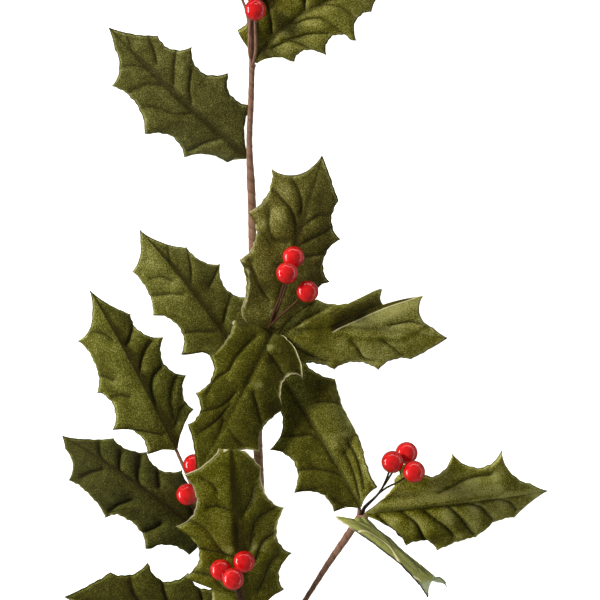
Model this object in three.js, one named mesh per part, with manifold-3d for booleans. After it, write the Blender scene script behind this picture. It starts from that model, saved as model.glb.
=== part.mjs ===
import * as THREE from "three";
import { mergeVertices } from "three/addons/utils/BufferGeometryUtils.js";
import Module from "manifold-3d";

// A spray of artificial holly lying on a table, in millimetres, +Z up, its cut stem towards -Y.
// Every place is [x, y, z]. x and y are as an eye 2 m above the table sees them against the plane
// 20 mm up, so that a leaf keeps its seat in that view when its height is changed.
const EYE = 2000;
const PLANE = 20;

const LEAF_LENGTH = 93;
const SHEET = 0.8;
const ROOT_HALF_WIDTH = 1.2;
const TIP_HALF_WIDTH = 0.3;
const PUFF = 1.0;
const BERRY_RADIUS = 5.5;
const GAP = 0.3;
const PETIOLE_RADIUS = 0.8;

// The die that cuts every leaf: spines as [distance along the rib, distance out from it].
const SPINES = {
  left: [[5, 13.8], [24.5, 24.1], [46, 25.1], [73.5, 20.3], [83.5, 5.4]],
  right: [[17, 19.3], [34.5, 24.1], [56, 22.3], [72.5, 15.1]],
};
// How deep the edge dips between one spine and the next, as a share of their distance.
const SCALLOPS = { left: [0.1, 0.27, 0.28, 0.19, 0.2, 0.05], right: [0.1, 0.27, 0.26, 0.24, 0.03] };
// The row of the blade whose vein ends in each spine, of ROWS from root to tip.
const ROWS = 18;
const VEINS = { left: [1, 4, 8, 12, 15], right: [3, 6, 10, 13] };
const STEPS = 3;

// Origin of the part: the middle of its bounding box, at the table.
const CENTRE = [2.36, 4.75];

// Leaves: rib is a Bezier curve from root to tip. fold is how far each half is raised from flat,
// in degrees at root, spines and tip, curl how far it bends back over each 25 mm from the rib,
// slide how far each spine sits towards the tip, wide how far out it is for its die, deep the dips
// between spines, and wire the length of petiole wire under the rib.
const leaves = [
  {
    name: "leaf_top_left", rib: [[-26.4, 71.3, 12.5], [-62.5, 101, 26], [-95.5, 136, 8]], wire: 0,
    left: {
      fold: [-20, -50, -28, 2, -8, -10, -10], slide: [-1.8, -2, -1.6, -1.1, -0.2], wide: [1, 1.05, 1, 1, 1],
      deep: [0.05, 0.1, 0.36, 0.2, 0.2, 0.05],
    },
    right: {
      fold: [0, 4, 8, 8, -2, -5], slide: [-1, 0, 0.4, 0.5], wide: [1.07, 1.06, 1.03, 1],
      deep: [0.1, 0.25, 0.33, 0.24, 0.05],
    },
  },
  {
    name: "leaf_top_right", rib: [[-21.2, 119, 11], [-16, 133, 11], [6, 152, 38], [48, 160, 20]],
    size: 0.97, wire: 0,
    left: { fold: [6, 6, 10, 10, 10, 10, 10], slide: [4, 2, 0, 0, 0], wide: [1.17, 1, 1, 1, 1] },
    right: {
      fold: [-10, -15, -5, 5, -8, -10], slide: [-3.5, 2, 4, 2.4], wide: [0.91, 1.02, 1.1, 0.87],
      deep: [0.1, 0.2, 0.3, 0.27, 0.1],
    },
  },
  {
    name: "leaf_crown", rib: [[-23.5, 166, 15], [-24, 205, 32], [-32, 256, 0.4]], wire: 0,
    left: { fold: [6, 8, 8, 6, 4, 4, 4] },
    right: { fold: [-6, -8, -8, -6, -4, -4] },
  },
  {
    name: "leaf_crown_side", rib: [[-26, 162.5, 12], [-56, 189, 9], [-90, 219, 5]], wire: 0,
    left: { fold: [4, 4, 4, 6, 6, 4, 4] },
    right: { fold: [-4, -4, -2, -2, 0, 0] },
  },
  {
    name: "leaf_single", rib: [[-27.5, -34, 11], [-48.5, 0, 32], [-80, 34.9, 15]], wire: 0,
    left: {
      fold: [-10, -18, -9, -16, -27, -25, -20], slide: [5.3, 0.2, 7.2, 9.3, 5], wide: [0.96, 1, 1, 1.02, 0.8],
      deep: [0.1, 0.3, 0.28, 0.12, 0.15, 0.05],
    },
    right: {
      fold: [-5, -8, -20, -28, -38, -30], slide: [-2, -6.6, -3.2, -0.4], wide: [1, 1.03, 1.09, 1.08],
      deep: [0.1, 0.27, 0.33, 0.2, 0.08],
    },
  },
  {
    name: "leaf_upper_up", rib: [[-13, -13, 31], [-2, 30, 52], [11, 72, 40]],
    left: {
      fold: [0, 0, 2, -2, 0, 0, 0], slide: [0.6, 5, 8.7, 4.8, 2], wide: [1.22, 1.01, 1.07, 1.1, 0.6],
      deep: [0.1, 0.12, 0.25, 0.17, 0.2, 0.05],
    },
    right: {
      fold: [-15, -18, -19, -14, -14, -10], slide: [0, -4.8, -1.5, 1],
      deep: [0.1, 0.27, 0.28, 0.22, 0],
    },
  },
  {
    name: "leaf_upper_right", rib: [[-11, -14.5, 26.5], [30, -12, 38], [73.5, -19, 32]], wire: 8,
    left: {
      fold: [-10, -15, -34, -28, 22, 20, 20], slide: [2, -5, 9.6, 3, 1], wide: [1, 0.75, 1, 1.02, 0.8],
      veins: [1, 3, 5, 8, 14], pleat: 3, deep: [0.05, 0.05, 0.2, 0.34, 0.26, 0.05],
    },
    right: {
      fold: [-10, -10, -21, -20, -26, -15], slide: [-8, -4.7, 1, 2.9], deep: [-0.1, 0.12, 0.17, 0.15, 0],
    },
  },
  {
    name: "leaf_upper_down", rib: [[-14, -16, 28.5], [-16, -22, 58], [-28, -48, 44], [-51.5, -86, 35]],
    left: {
      fold: [-5, -5, -19, -23, -4, -4, -4], slide: [-1, -9, -1.3, -5.3, -2], wide: [0.3, 1.07, 1.07, 1.06, 0.8],
      deep: [0, -0.06, 0.35, 0.26, 0.2, 0.08],
    },
    right: {
      fold: [10, 5, 0, 4, 0, 0], slide: [-9.4, 0.5, 0.9, 1.4], wide: [1.05, 0.95, 0.92, 1.07],
      deep: [-0.12, 0.1, 0.22, 0.25, 0.04],
    },
  },
  {
    name: "leaf_right_up", rib: [[30, -103.6, 26], [7.5, -62.5, 33], [-18.6, -25.6, 13.5]],
    left: {
      fold: [-10, -15, 2, 2, -2, -2, 0], slide: [-1.3, -1.3, 2.4, 0, 0], wide: [0.95, 1.03, 1, 0.6, 0.8],
      deep: [0.1, 0.27, 0.3, 0.3, 0.2, 0.08],
    },
    right: {
      fold: [30, 40, 10, 10, 0, 0], curl: [-60, -60, -112, -60, -30, -20], slide: [-11.4, 0, 5.8, 3.3],
      wide: [0.72, 1, 1.04, 0.95], deep: [0.1, 0.14, 0.1, 0.15, 0.05],
    },
  },
  {
    name: "leaf_right_out", rib: [[33, -107, 27], [77.5, -103, 41], [123.5, -95.5, 0.65]],
    left: {
      fold: [4, 4, 8, 8, 6, 6, 6], slide: [3, -2.5, -3, -4.7, -1], wide: [0.45, 1, 1, 1.16, 1],
      deep: [0.03, 0.1, 0.44, 0.3, 0.2, 0.05],
    },
    right: {
      fold: [-15, -18, -18, -28, -40, -30], slide: [0, -1.9, 0, 6.8], wide: [1, 1.03, 1.02, 1.05],
      deep: [0.1, 0.27, 0.26, 0.2, 0.12],
    },
  },
  {
    name: "leaf_right_down", rib: [[33.5, -109, 30], [36, -115, 62], [60, -130.5, 74], [73.5, -143.5, 42]],
    size: 0.9, wire: 0,
    left: {
      fold: [-95, -95, -98, -98, -148, -125, -60], curl: [0, 0, 0, 0, 0, 0, 0],
      slide: [0, 0, 0, 6, 3], wide: [1, 1, 1, 0.85, 0.8],
      deep: [0.1, 0.27, 0.28, 0.15, 0.2, 0.1],
    },
    right: { fold: [40, 48, 70, 74, 42, 20], curl: [0, 0, 0, 0, 0, 0], slide: [-7, -3, -4, 0] },
  },
  {
    name: "leaf_left_up", rib: [[-62.1, -74.7, 21], [-82.5, -33, 38], [-105, 4.6, 18]],
    left: {
      fold: [0, 0, 6, -19, -18, -20, -20], slide: [-0.9, -1, -1.6, 2.6, -1.2], wide: [1, 1, 1.02, 1.01, 1],
      deep: [0.1, 0.27, 0.3, 0.17, 0.2, 0.08],
    },
    right: {
      fold: [-15, -23, -19, -17, -35, -30], slide: [-4.6, -4.1, -2, 1.4], wide: [0.98, 0.98, 0.98, 0.97],
      deep: [0.1, 0.25, 0.32, 0.27, 0.1],
    },
  },
  {
    name: "leaf_left_out", rib: [[-44.5, -119.2, 10], [-83.5, -89, 36], [-118.7, -68, 0.4]], wire: 0,
    left: {
      fold: [0, -3, 2, -16, -16, -16, -10], slide: [-2, -1.5, 4.3, 8, 5], wide: [0.98, 1, 1.02, 0.96, 0.95],
      deep: [0.1, 0.18, 0.27, 0.12, 0.3, 0.08],
    },
    right: {
      fold: [-10, -20, -32, -37, -30, -20], slide: [-2, -4.5, -2.9, -1.4], wide: [0.98, 0.98, 0.96, 0.95],
      deep: [0.1, 0.27, 0.33, 0.22, 0.1],
    },
  },
  {
    name: "leaf_low_front", rib: [[-28.5, -162, 24], [-30, -122, 50], [-35.5, -57, 72], [-34.5, -80, 54]],
    size: 1.08,
    left: {
      fold: [-10, -16, 5, 5, 3, 3, 3], slide: [5.1, 1.2, 4.8, 2.9, -3], wide: [1.02, 1.05, 1.13, 1.11, 0.7],
      deep: [0.1, 0.27, 0.34, 0.3, 0.12, 0.03],
    },
    right: {
      fold: [-10, -12, -13, -19, -30, -20], slide: [-3, -3.8, -2.6, 2.6], wide: [1.06, 1.07, 1.07, 0.97],
      deep: [0.1, 0.27, 0.27, 0.2, 0],
    },
  },
  {
    name: "leaf_low_left", rib: [[-25, -166, 8], [-70, -155, 18], [-117.5, -148.5, 4]], size: 1.03,
    left: { fold: [2, 2, 2, 2, 2, 2, 2] },
    right: {
      fold: [-5, -5, 0, 4, 4, 0], slide: [2, 1.2, -0.5, -0.4], wide: [1, 0.9, 1.02, 1.01],
      deep: [0.1, 0.3, 0.35, 0.2, 0.03],
    },
  },
  {
    name: "leaf_low_right", rib: [[-12.5, -187, 9], [17.5, -217, 20], [50, -247, 4]],
    left: { fold: [2, 2, 2, 0, 0, 0, 0] },
    right: { fold: [-4, -4, -4, -2, 0, 0] },
  },
];

// Berries of each pick, and the wires that carry them: every wire is [x, y, z] places, thick first.
const clusters = [
  {
    name: "top", radius: 0.7,
    berries: [[-22.2, 145.1, 33], [-23.5, 154.5, 26.8], [-28.5, 162.5, 33]],
    wires: [
      [[-24, 117, 20.8], [-22.3, 124, 21.6], [-22.4, 138, 24]],
      [[-24, 117, 20.8], [-25.4, 124, 21.6], [-25, 139, 22], [-24.4, 147, 22]],
      [[-25, 134, 21.6], [-27, 145, 19.5], [-30.5, 155, 21.5]],
    ],
  },
  {
    name: "upper", radius: 0.7,
    berries: [[-3.3, 21.5, 53], [-6.5, 13.5, 60.5], [3.7, 4.3, 55]],
    wires: [
      [[-15.9, -13.4, 26], [-15.7, -13.3, 32], [-15, -13, 36], [-12, -7, 39.5], [-6.5, 8, 46]],
      [[-15.6, -13.2, 33], [-15, -12, 37], [-13, -6, 41], [-9.5, 3, 52]],
      [[-15.5, -13.2, 33.5], [-14, -12, 38], [-11, -9, 39.5], [-3, -2, 48]],
    ],
  },
  {
    name: "right", radius: 0.5,
    berries: [[46.3, -81, 52], [53.3, -76.5, 44], [57, -85.9, 52]],
    wires: [
      [[31.4, -105.9, 25.3], [32.3, -103.8, 29.5], [39.5, -96.5, 38], [43, -90, 45]],
      [[39, -97, 37.4], [43.5, -90.5, 40], [47.5, -84, 41]],
      [[38.5, -97.5, 36.8], [43, -94, 42], [49, -91, 46]],
    ],
  },
  {
    name: "left", radius: 0.7,
    berries: [[-53, -82.5, 26.5], [-56.5, -97.3, 31], [-44.5, -97, 24]],
    wires: [
      [[-43, -118.5, 18], [-48.5, -104, 20.5], [-51.5, -92, 22.5]],
      [[-43, -118.5, 18], [-50, -108, 22.5], [-54, -103, 26]],
      [[-43, -118.5, 18], [-43.5, -110, 19], [-44, -104, 20.5]],
    ],
  },
  {
    name: "low", radius: 0.6,
    berries: [[-39.5, -135, 53], [-28, -130.8, 53.5], [-33.5, -139.5, 62.5]],
    wires: [
      [[-24.2, -168.6, 24], [-27, -158, 32], [-30.5, -148, 43], [-35.5, -141, 49]],
      [[-27, -158, 32], [-29.5, -146, 43], [-28.8, -138, 49]],
      [[-26.6, -159.5, 31.2], [-29, -153, 40], [-31.5, -147, 50]],
    ],
  },
];

// Stems, wrapped in tape: places with a radius after x, y and z.
const mainStem = [
  [-24, 166, 18, 1.0], [-23.9, 139, 19.5, 1.2], [-24, 121, 18.5, 1.5], [-24.5, 100, 18, 1.5],
  [-25.3, 80, 18, 1.45], [-25, 67.5, 18, 1.75], [-24.6, 60, 18.5, 2.1], [-24, 46.5, 19, 2.1],
  [-23.9, 36, 19.5, 2.05], [-23, 0, 19, 2.2], [-22, -36, 18, 2.3], [-20.9, -77.5, 17, 2.4],
  [-20.2, -95, 16, 2.5], [-18.5, -150, 12, 2.75], [-18.5, -177.5, 9, 2.75], [-20, -210, 4.5, 2.9],
  [-20.5, -225, 2.7, 3.0], [-21, -240, 2.7, 3.0],
];
const twigs = [
  { name: "twig_upper", path: [[-22, -36, 18, 1.9], [-18, -26, 22, 1.8], [-13.5, -15, 25, 1.5]] },
  { name: "twig_left", path: [[-18.8, -148, 12, 1.7], [-30, -135, 15, 1.7], [-42.5, -121, 15.5, 1.4]] },
  {
    name: "branch_right",
    path: [[-18, -180, 8.8, 1.4], [2.5, -150, 13, 1.2], [14, -132, 17, 1.6], [24, -117.5, 21, 2.0],
      [30, -108, 23.5, 1.7]],
  },
  { name: "twig_low", path: [[-18.5, -177, 9, 1.8], [-20, -172, 16, 1.8], [-24, -167, 22, 1.5]] },
];
// The stem that each leaf's petiole grows from, and where it leaves that stem.
const petioles = {
  leaf_top_left: ["main_stem", [-25, 66, 17.5]],
  leaf_top_right: ["main_stem", [-24, 114, 17.5]],
  leaf_crown: ["main_stem", [-24, 159, 18]],
  leaf_crown_side: ["main_stem", [-24, 156, 18]],
  leaf_single: ["main_stem", [-22, -40, 17.5]],
  leaf_upper_up: ["twig_upper", [-14, -16, 25]],
  leaf_upper_right: ["twig_upper", [-14, -16, 24.5]],
  leaf_upper_down: ["twig_upper", [-14, -16, 25]],
  leaf_right_up: ["branch_right", [29.5, -108.5, 23.5]],
  leaf_right_out: ["branch_right", [29.5, -108.5, 23.5]],
  leaf_right_down: ["branch_right", [29.5, -108.5, 24]],
  leaf_left_up: ["twig_left", [-42, -121, 15.5]],
  leaf_left_out: ["twig_left", [-42, -121, 15]],
  leaf_low_front: ["twig_low", [-23.5, -167.5, 21.5]],
  leaf_low_left: ["main_stem", [-18.7, -172, 9.5]],
  leaf_low_right: ["main_stem", [-18.7, -186, 8]],
};

const wasm = await Module();
wasm.setup();
const { Manifold } = wasm;

function seen([x, y, z]) {
  const k = (EYE - z) / (EYE - PLANE);
  return new THREE.Vector3(x * k - CENTRE[0], y * k - CENTRE[1], z);
}

function mix(list, at) {
  const i = Math.min(Math.floor(at), list.length - 2);
  return list[i] + (list[i + 1] - list[i]) * (at - i);
}

function geometry(vertices, triangles) {
  const g = new THREE.BufferGeometry();
  g.setAttribute("position", new THREE.BufferAttribute(new Float32Array(vertices.flatMap((v) => v.toArray())), 3));
  g.setIndex(triangles);
  return g;
}

function solidOf(source) {
  const g = source.clone();
  g.deleteAttribute("normal");
  g.deleteAttribute("uv");
  const merged = mergeVertices(g, 1e-3);
  return new Manifold(new wasm.Mesh({
    numProp: 3,
    vertProperties: merged.attributes.position.array,
    triVerts: new Uint32Array(merged.index.array),
  }));
}

function geometryOf(solid) {
  const m = solid.getMesh();
  const g = new THREE.BufferGeometry();
  g.setAttribute("position", new THREE.BufferAttribute(new Float32Array(m.vertProperties), 3));
  g.setIndex(new THREE.BufferAttribute(new Uint32Array(m.triVerts), 1));
  return g;
}

// Closed round tube through places, its radius changing from place to place.
function tube(places, radii, sides, rings) {
  const curve = new THREE.CatmullRomCurve3(places, false, "centripetal");
  const frames = curve.computeFrenetFrames(rings, false);
  const lengths = [0];
  places.forEach((p, i) => i && lengths.push(lengths[i - 1] + p.distanceTo(places[i - 1])));
  const total = lengths[lengths.length - 1];
  const vertices = [];
  const triangles = [];
  for (let i = 0; i <= rings; i++) {
    const centre = curve.getPointAt(i / rings);
    const far = (i / rings) * total;
    let k = 0;
    while (k < lengths.length - 2 && lengths[k + 1] < far) k++;
    const part = (far - lengths[k]) / (lengths[k + 1] - lengths[k]);
    const r = radii[k] + (radii[k + 1] - radii[k]) * Math.min(1, part);
    for (let j = 0; j < sides; j++) {
      const turn = (j / sides) * 2 * Math.PI;
      vertices.push(centre.clone()
        .addScaledVector(frames.normals[i], r * Math.cos(turn))
        .addScaledVector(frames.binormals[i], r * Math.sin(turn)));
    }
    if (i < rings) {
      for (let j = 0; j < sides; j++) {
        const a = i * sides + j;
        const b = i * sides + ((j + 1) % sides);
        triangles.push(a, b, b + sides, a, b + sides, a + sides);
      }
    }
  }
  const last = rings * sides;
  for (let j = 1; j < sides - 1; j++) {
    triangles.push(0, j + 1, j);
    triangles.push(last, last + j, last + j + 1);
  }
  return solidOf(geometry(vertices, triangles));
}

function ribOf(leaf) {
  const p = leaf.rib.map(seen);
  return p.length === 3 ? new THREE.QuadraticBezierCurve3(...p) : new THREE.CubicBezierCurve3(...p);
}

// Place on the rib with its tangent, the direction to the left and the front normal.
function frameAt(rib, share) {
  const t = rib.getTangentAt(share);
  const s = new THREE.Vector3(0, 0, 1).cross(t).normalize();
  return { p: rib.getPointAt(share), t, s, n: t.clone().cross(s) };
}

// Edge of one half, row by row: distance along and out, share of the way between two spines,
// and the place in the fold list.
function edgeOf(side, data) {
  const slide = data.slide ?? [];
  const wide = data.wide ?? [];
  const veins = data.veins ?? VEINS[side];
  const scallops = data.deep ?? SCALLOPS[side];
  const spines = SPINES[side].map(([a, w], i) => [a + (slide[i] ?? 0), w * (wide[i] ?? 1)]);
  const corners = [[0, ROOT_HALF_WIDTH], ...spines, [LEAF_LENGTH, TIP_HALF_WIDTH]];
  const rows = [0, ...veins, ROWS];
  const edge = [];
  for (let k = 0; k < corners.length - 1; k++) {
    const [p, q] = [corners[k], corners[k + 1]];
    const n = rows[k + 1] - rows[k];
    for (let i = 0; i < n; i++) {
      const s = i / n;
            const lift = scallops[k] * (4 * s * (1 - s)) ** 0.85;
      const along = p[0] + (q[0] - p[0]) * s + lift * (q[1] - p[1]);
      const out = p[1] + (q[1] - p[1]) * s - lift * (q[0] - p[0]);
      const late = data.pleat === k ? s ** 6 : s;
      edge.push({ along, out, s, at: k + late });
    }
  }
  edge.push({ along: LEAF_LENGTH, out: TIP_HALF_WIDTH, s: 0, at: corners.length - 1 });
  return edge;
}

// Middle surface of one half: ROWS + 1 rows of STEPS + 1 places, from the rib outwards.
function halfOf(leaf, rib, side) {
  const data = leaf[side];
  const sign = side === "left" ? 1 : -1;
  const size = leaf.size ?? 1;
  return edgeOf(side, data).map(({ along, out, s, at }, row) => {
    const hinge = LEAF_LENGTH * (row / ROWS) ** 1.25;
    const fold = THREE.MathUtils.degToRad(mix(data.fold, at));
    const curl = THREE.MathUtils.degToRad(data.curl ? mix(data.curl, at) : -20) / 25 || 1e-4;
    const line = [];
    for (let i = 0; i <= STEPS; i++) {
      const v = i / STEPS;
      const a = hinge + v * (along - hinge);
      const w = v * out * size;
      const { p, t, s: across, n } = frameAt(rib, THREE.MathUtils.clamp(a / LEAF_LENGTH, 0, 1));
      const swell = PUFF * Math.sin(Math.PI * s) ** 0.8 * Math.sin(Math.PI * Math.min(1, v * 1.1)) ** 0.7;
      line.push(p.addScaledVector(t, Math.min(0, a) * size)
        .addScaledVector(across, (sign * (Math.sin(fold + curl * w) - Math.sin(fold))) / curl)
        .addScaledVector(n, (Math.cos(fold) - Math.cos(fold + curl * w)) / curl + (swell || 0)));
    }
    return line;
  });
}

// The blade as one closed sheet: the same grid in front and behind, with a rim between.
function bladeOf(leaf) {
  const rib = ribOf(leaf);
  const left = halfOf(leaf, rib, "left");
  const right = halfOf(leaf, rib, "right");
  const grid = left.map((line, row) => [...line.slice(1).reverse(), ...right[row]]);
  const wide = grid[0].length;
  const normals = grid.map((line, i) => line.map((_, j) => {
    const along = grid[Math.min(i + 1, ROWS)][j].clone().sub(grid[Math.max(i - 1, 0)][j]);
    const out = line[Math.min(j + 1, wide - 1)].clone().sub(line[Math.max(j - 1, 0)]);
    return out.cross(along).normalize();
  }));
  const vertices = [];
  for (const side of [0.5, -0.5]) {
    grid.forEach((line, i) => line.forEach((p, j) => {
      vertices.push(p.clone().addScaledVector(normals[i][j], side * SHEET));
    }));
  }
  const back = vertices.length / 2;
  const triangles = [];
  const face = (a, b, c) => {
    triangles.push(a, b, c, back + a, back + c, back + b);
  };
  const rim = (a, b) => triangles.push(a, back + b, b, a, back + a, back + b);
  for (let i = 0; i < ROWS; i++) {
    for (let j = 0; j < wide - 1; j++) {
      const a = i * wide + j;
      face(a, a + 1, a + 1 + wide);
      face(a, a + 1 + wide, a + wide);
    }
    rim((i + 1) * wide, i * wide);
    rim(i * wide + wide - 1, (i + 1) * wide + wide - 1);
  }
  for (let j = 0; j < wide - 1; j++) {
    rim(j, j + 1);
    rim(ROWS * wide + j + 1, ROWS * wide + j);
  }
  return geometry(vertices, triangles);
}

// Petiole of a leaf: from its stem to the root and on under the rib.
function petioleOf(leaf, start) {
  const rib = ribOf(leaf);
  const long = leaf.wire ?? 20;
  const below = SHEET / 2 + GAP + PETIOLE_RADIUS + PUFF * 0.25;
  const places = [seen(start)];
  for (const a of long ? [1, long * 0.5, long] : [-1.2]) {
    const { p, t, n } = frameAt(rib, Math.max(0, a) / LEAF_LENGTH);
    places.push(p.addScaledVector(n, long ? -below : 0).addScaledVector(t, Math.min(0, a)));
  }
  const r = PETIOLE_RADIUS;
  return tube(places, long ? [1.2, r, r * 0.9, r * 0.6] : [1.2, 0.9], 5, long ? 7 : 3);
}

const looks = {
  leaf: new THREE.MeshStandardMaterial({ color: 0x55571f, roughness: 0.95 }),
  berry: new THREE.MeshStandardMaterial({ color: 0xd01a1c, roughness: 0.2 }),
  tape: new THREE.MeshStandardMaterial({ color: 0x82554b, roughness: 0.85 }),
  wire: new THREE.MeshStandardMaterial({ color: 0x2a2320, roughness: 0.6, metalness: 0.3 }),
};
function lookOf(name) {
  if (name.startsWith("leaf")) return looks.leaf;
  if (name.startsWith("berry")) return looks.berry;
  return name === "wires_right" ? looks.wire : looks.tape;
}

const group = new THREE.Group();
group.name = "holly_sprig";
function add(name, g) {
  const mesh = new THREE.Mesh(g, lookOf(name));
  mesh.name = name;
  group.add(mesh);
}

const stems = { main_stem: tube(mainStem.map(seen), mainStem.map((p) => p[3]), 8, 32) };
for (const { name, path } of twigs) {
  stems[name] = tube(path.map(seen), path.map((p) => p[3]), 7, name === "branch_right" ? 10 : 6);
}
for (const leaf of leaves) {
  const [stem, start] = petioles[leaf.name];
  stems[stem] = stems[stem].add(petioleOf(leaf, start));
}
// Each twig is seated on the main stem, and the stem is flat underneath at its cut end.
const seat = tube(mainStem.map(seen), mainStem.map((p) => p[3] + GAP), 8, 32);
const table = solidOf(new THREE.BoxGeometry(900, 900, 50).translate(0, 0, -25));
for (const [name, solid] of Object.entries(stems)) {
  const cut = name === "main_stem" ? solid.subtract(table) : solid.subtract(seat);
  const largest = cut.decompose().sort((a, b) => b.volume() - a.volume())[0];
  add(name, geometryOf(largest));
}
for (const leaf of leaves) add(leaf.name, bladeOf(leaf));
for (const { name, radius, berries, wires } of clusters) {
  const centres = berries.map(seen);
  centres.forEach((c, i) => {
    const ball = new THREE.SphereGeometry(BERRY_RADIUS, 12, 8);
    ball.translate(c.x, c.y, c.z);
    add(`berry_${name}_${i + 1}`, geometryOf(solidOf(ball)));
  });
  const parts = wires.map((wire, i) => {
    const places = wire.map(seen);
    const last = places[places.length - 1];
    const stand = last.clone().sub(centres[i]).setLength(BERRY_RADIUS + GAP);
    places.push(centres[i].clone().add(stand));
    return tube(places, places.map(() => radius), 5, 6);
  });
  add(`wires_${name}`, geometryOf(Manifold.union(parts)));
}

export default group;
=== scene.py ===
import math

import bpy
import numpy as np
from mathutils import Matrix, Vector


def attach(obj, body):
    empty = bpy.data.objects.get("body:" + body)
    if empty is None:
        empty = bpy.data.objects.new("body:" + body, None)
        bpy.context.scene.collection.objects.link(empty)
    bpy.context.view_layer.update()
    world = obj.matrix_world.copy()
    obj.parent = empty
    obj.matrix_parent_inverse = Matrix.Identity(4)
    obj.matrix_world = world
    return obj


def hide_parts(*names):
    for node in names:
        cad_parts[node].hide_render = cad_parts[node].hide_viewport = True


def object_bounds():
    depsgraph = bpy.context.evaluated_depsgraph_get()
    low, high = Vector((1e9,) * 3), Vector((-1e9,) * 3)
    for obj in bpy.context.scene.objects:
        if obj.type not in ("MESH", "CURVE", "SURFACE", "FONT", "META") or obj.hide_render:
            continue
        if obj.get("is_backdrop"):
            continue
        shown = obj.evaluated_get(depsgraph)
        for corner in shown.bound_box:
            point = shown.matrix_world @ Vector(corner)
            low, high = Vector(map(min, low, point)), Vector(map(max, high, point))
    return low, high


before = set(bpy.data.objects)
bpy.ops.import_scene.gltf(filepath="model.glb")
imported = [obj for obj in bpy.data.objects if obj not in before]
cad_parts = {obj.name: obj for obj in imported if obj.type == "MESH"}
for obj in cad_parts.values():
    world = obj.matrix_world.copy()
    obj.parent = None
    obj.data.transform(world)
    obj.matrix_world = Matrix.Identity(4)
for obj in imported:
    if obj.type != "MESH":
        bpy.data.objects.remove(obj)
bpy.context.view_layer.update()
print("frame:", len(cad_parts), "nodes")

mm = 0.001
eye = 2000.0  # height of the eye above the table, mm
plane = 20.0  # height of the plane in which the sprig is measured
centre = (2.36, 4.75)  # origin of the part, as seen in that plane


# camera, light and floor
studio = {
    "lens": 237.6,
    "sensor": 36.0,
    "farthest": 20,  # how far the lens sees, m
    "keyStrength": 4.0,
    "keyFrom": (-0.8, 0.36, 0.6),
    "keyAngle": 14.0,  # degrees across, which softens the shadows
    "keyColour": (1.0, 0.99, 0.96),
    "fill": 0.3,  # even light on everything that isn't gloss
    "air": 0.12,  # what gloss sees between the boxes of light
    "boxStrength": 14.0,
    "boxHeight": (-0.03, 0.16, 0.03),  # from, to and softness
    # the boxes of light: axis, from, to, softness and share of the strength
    "boxes": [(0, -1.2, -0.93, 0.03, 1.0), (0, 0.75, 1.2, 0.06, 0.12), (1, 0.75, 1.2, 0.06, 0.2)],
    "floorHalf": 8,
    "floorGlow": 1.0,
    "floorGloss": 0.14,
    "floorColor": (0.86, 0.86, 0.85, 1),
}

scene = bpy.context.scene
scene.view_settings.view_transform = "Standard"
scene.view_settings.look = "None"
cameraData = bpy.data.cameras.new("camera")
cameraData.lens = studio["lens"]
cameraData.sensor_width = studio["sensor"]
cameraData.clip_end = studio["farthest"]
camera = bpy.data.objects.new("camera", cameraData)
camera.location = (-centre[0] * mm, -centre[1] * mm, eye * mm)
scene.collection.objects.link(camera)
scene.camera = camera

key = bpy.data.objects.new("key", bpy.data.lights.new("key", "SUN"))
key.data.energy = studio["keyStrength"]
key.data.angle = math.radians(studio["keyAngle"])
key.data.color = studio["keyColour"]
key.visible_glossy = False
key.rotation_mode = "QUATERNION"
key.rotation_quaternion = Vector(studio["keyFrom"]).to_track_quat("Z", "Y")  # its light runs to the origin
scene.collection.objects.link(key)


def feed(tree, value, socket):
    # a socket is linked, a number or a colour is set
    if isinstance(value, bpy.types.NodeSocket):
        tree.links.new(value, socket)
    else:
        socket.default_value = value


def node(tree, kind, **values):
    # in_Name sets an input by its name, at_number by its number, other names set the node itself
    n = tree.nodes.new(kind)
    for name, value in values.items():
        if name.startswith("in_"):
            n.inputs[name[3:].replace("_", " ")].default_value = value
        elif name.startswith("at_"):
            n.inputs[int(name[3:])].default_value = value
        else:
            setattr(n, name, value)
    return n


def maths(tree, operation, a, b=0.0):
    # a operation b, each a number or a socket
    n = node(tree, "ShaderNodeMath", operation=operation)
    feed(tree, a, n.inputs[0])
    feed(tree, b, n.inputs[1])
    return n.outputs[0]


def plus(tree, a, b):
    return maths(tree, "ADD", a, b)


def times(tree, a, b):
    return maths(tree, "MULTIPLY", a, b)


def smoothStep(tree, value, low, high):
    # nought below low, one above high, smooth between
    n = node(tree, "ShaderNodeMapRange", interpolation_type="SMOOTHSTEP", at_1=low, at_2=high)
    tree.links.new(value, n.inputs[0])
    return n.outputs[0]


def window(tree, value, low, high, soft):
    # the step at low times one minus the step at high, each running over soft on both sides
    fall = smoothStep(tree, value, high - soft, high + soft)
    return times(tree, smoothStep(tree, value, low - soft, low + soft), maths(tree, "SUBTRACT", 1.0, fall))


world = bpy.data.worlds.new("studio")
scene.world = world
world.use_nodes = True
tree = world.node_tree
tree.nodes.clear()
worldOut = tree.nodes.new("ShaderNodeOutputWorld")
background = tree.nodes.new("ShaderNodeBackground")
tree.links.new(background.outputs[0], worldOut.inputs[0])
direction = tree.nodes.new("ShaderNodeSeparateXYZ")
tree.links.new(tree.nodes.new("ShaderNodeTexCoord").outputs["Generated"], direction.inputs[0])
# gloss sees dim air with boxes of light beside the table, cloth sees an even fill, the lens sees white
above = window(tree, direction.outputs[2], *studio["boxHeight"])
glossy = studio["air"]
for axis, low, high, soft, strength in studio["boxes"]:
    box = times(tree, window(tree, direction.outputs[axis], low, high, soft), above)
    glossy = plus(tree, glossy, times(tree, box, studio["boxStrength"] * strength))
rays = tree.nodes.new("ShaderNodeLightPath")
plain = times(tree, maths(tree, "SUBTRACT", 1.0, rays.outputs["Is Glossy Ray"]), studio["fill"])
total = plus(tree, plain, times(tree, glossy, rays.outputs["Is Glossy Ray"]))
total = maths(tree, "MAXIMUM", total, rays.outputs["Is Camera Ray"])
tree.links.new(total, background.inputs["Strength"])
background.inputs["Color"].default_value = (1, 1, 1, 1)

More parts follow.
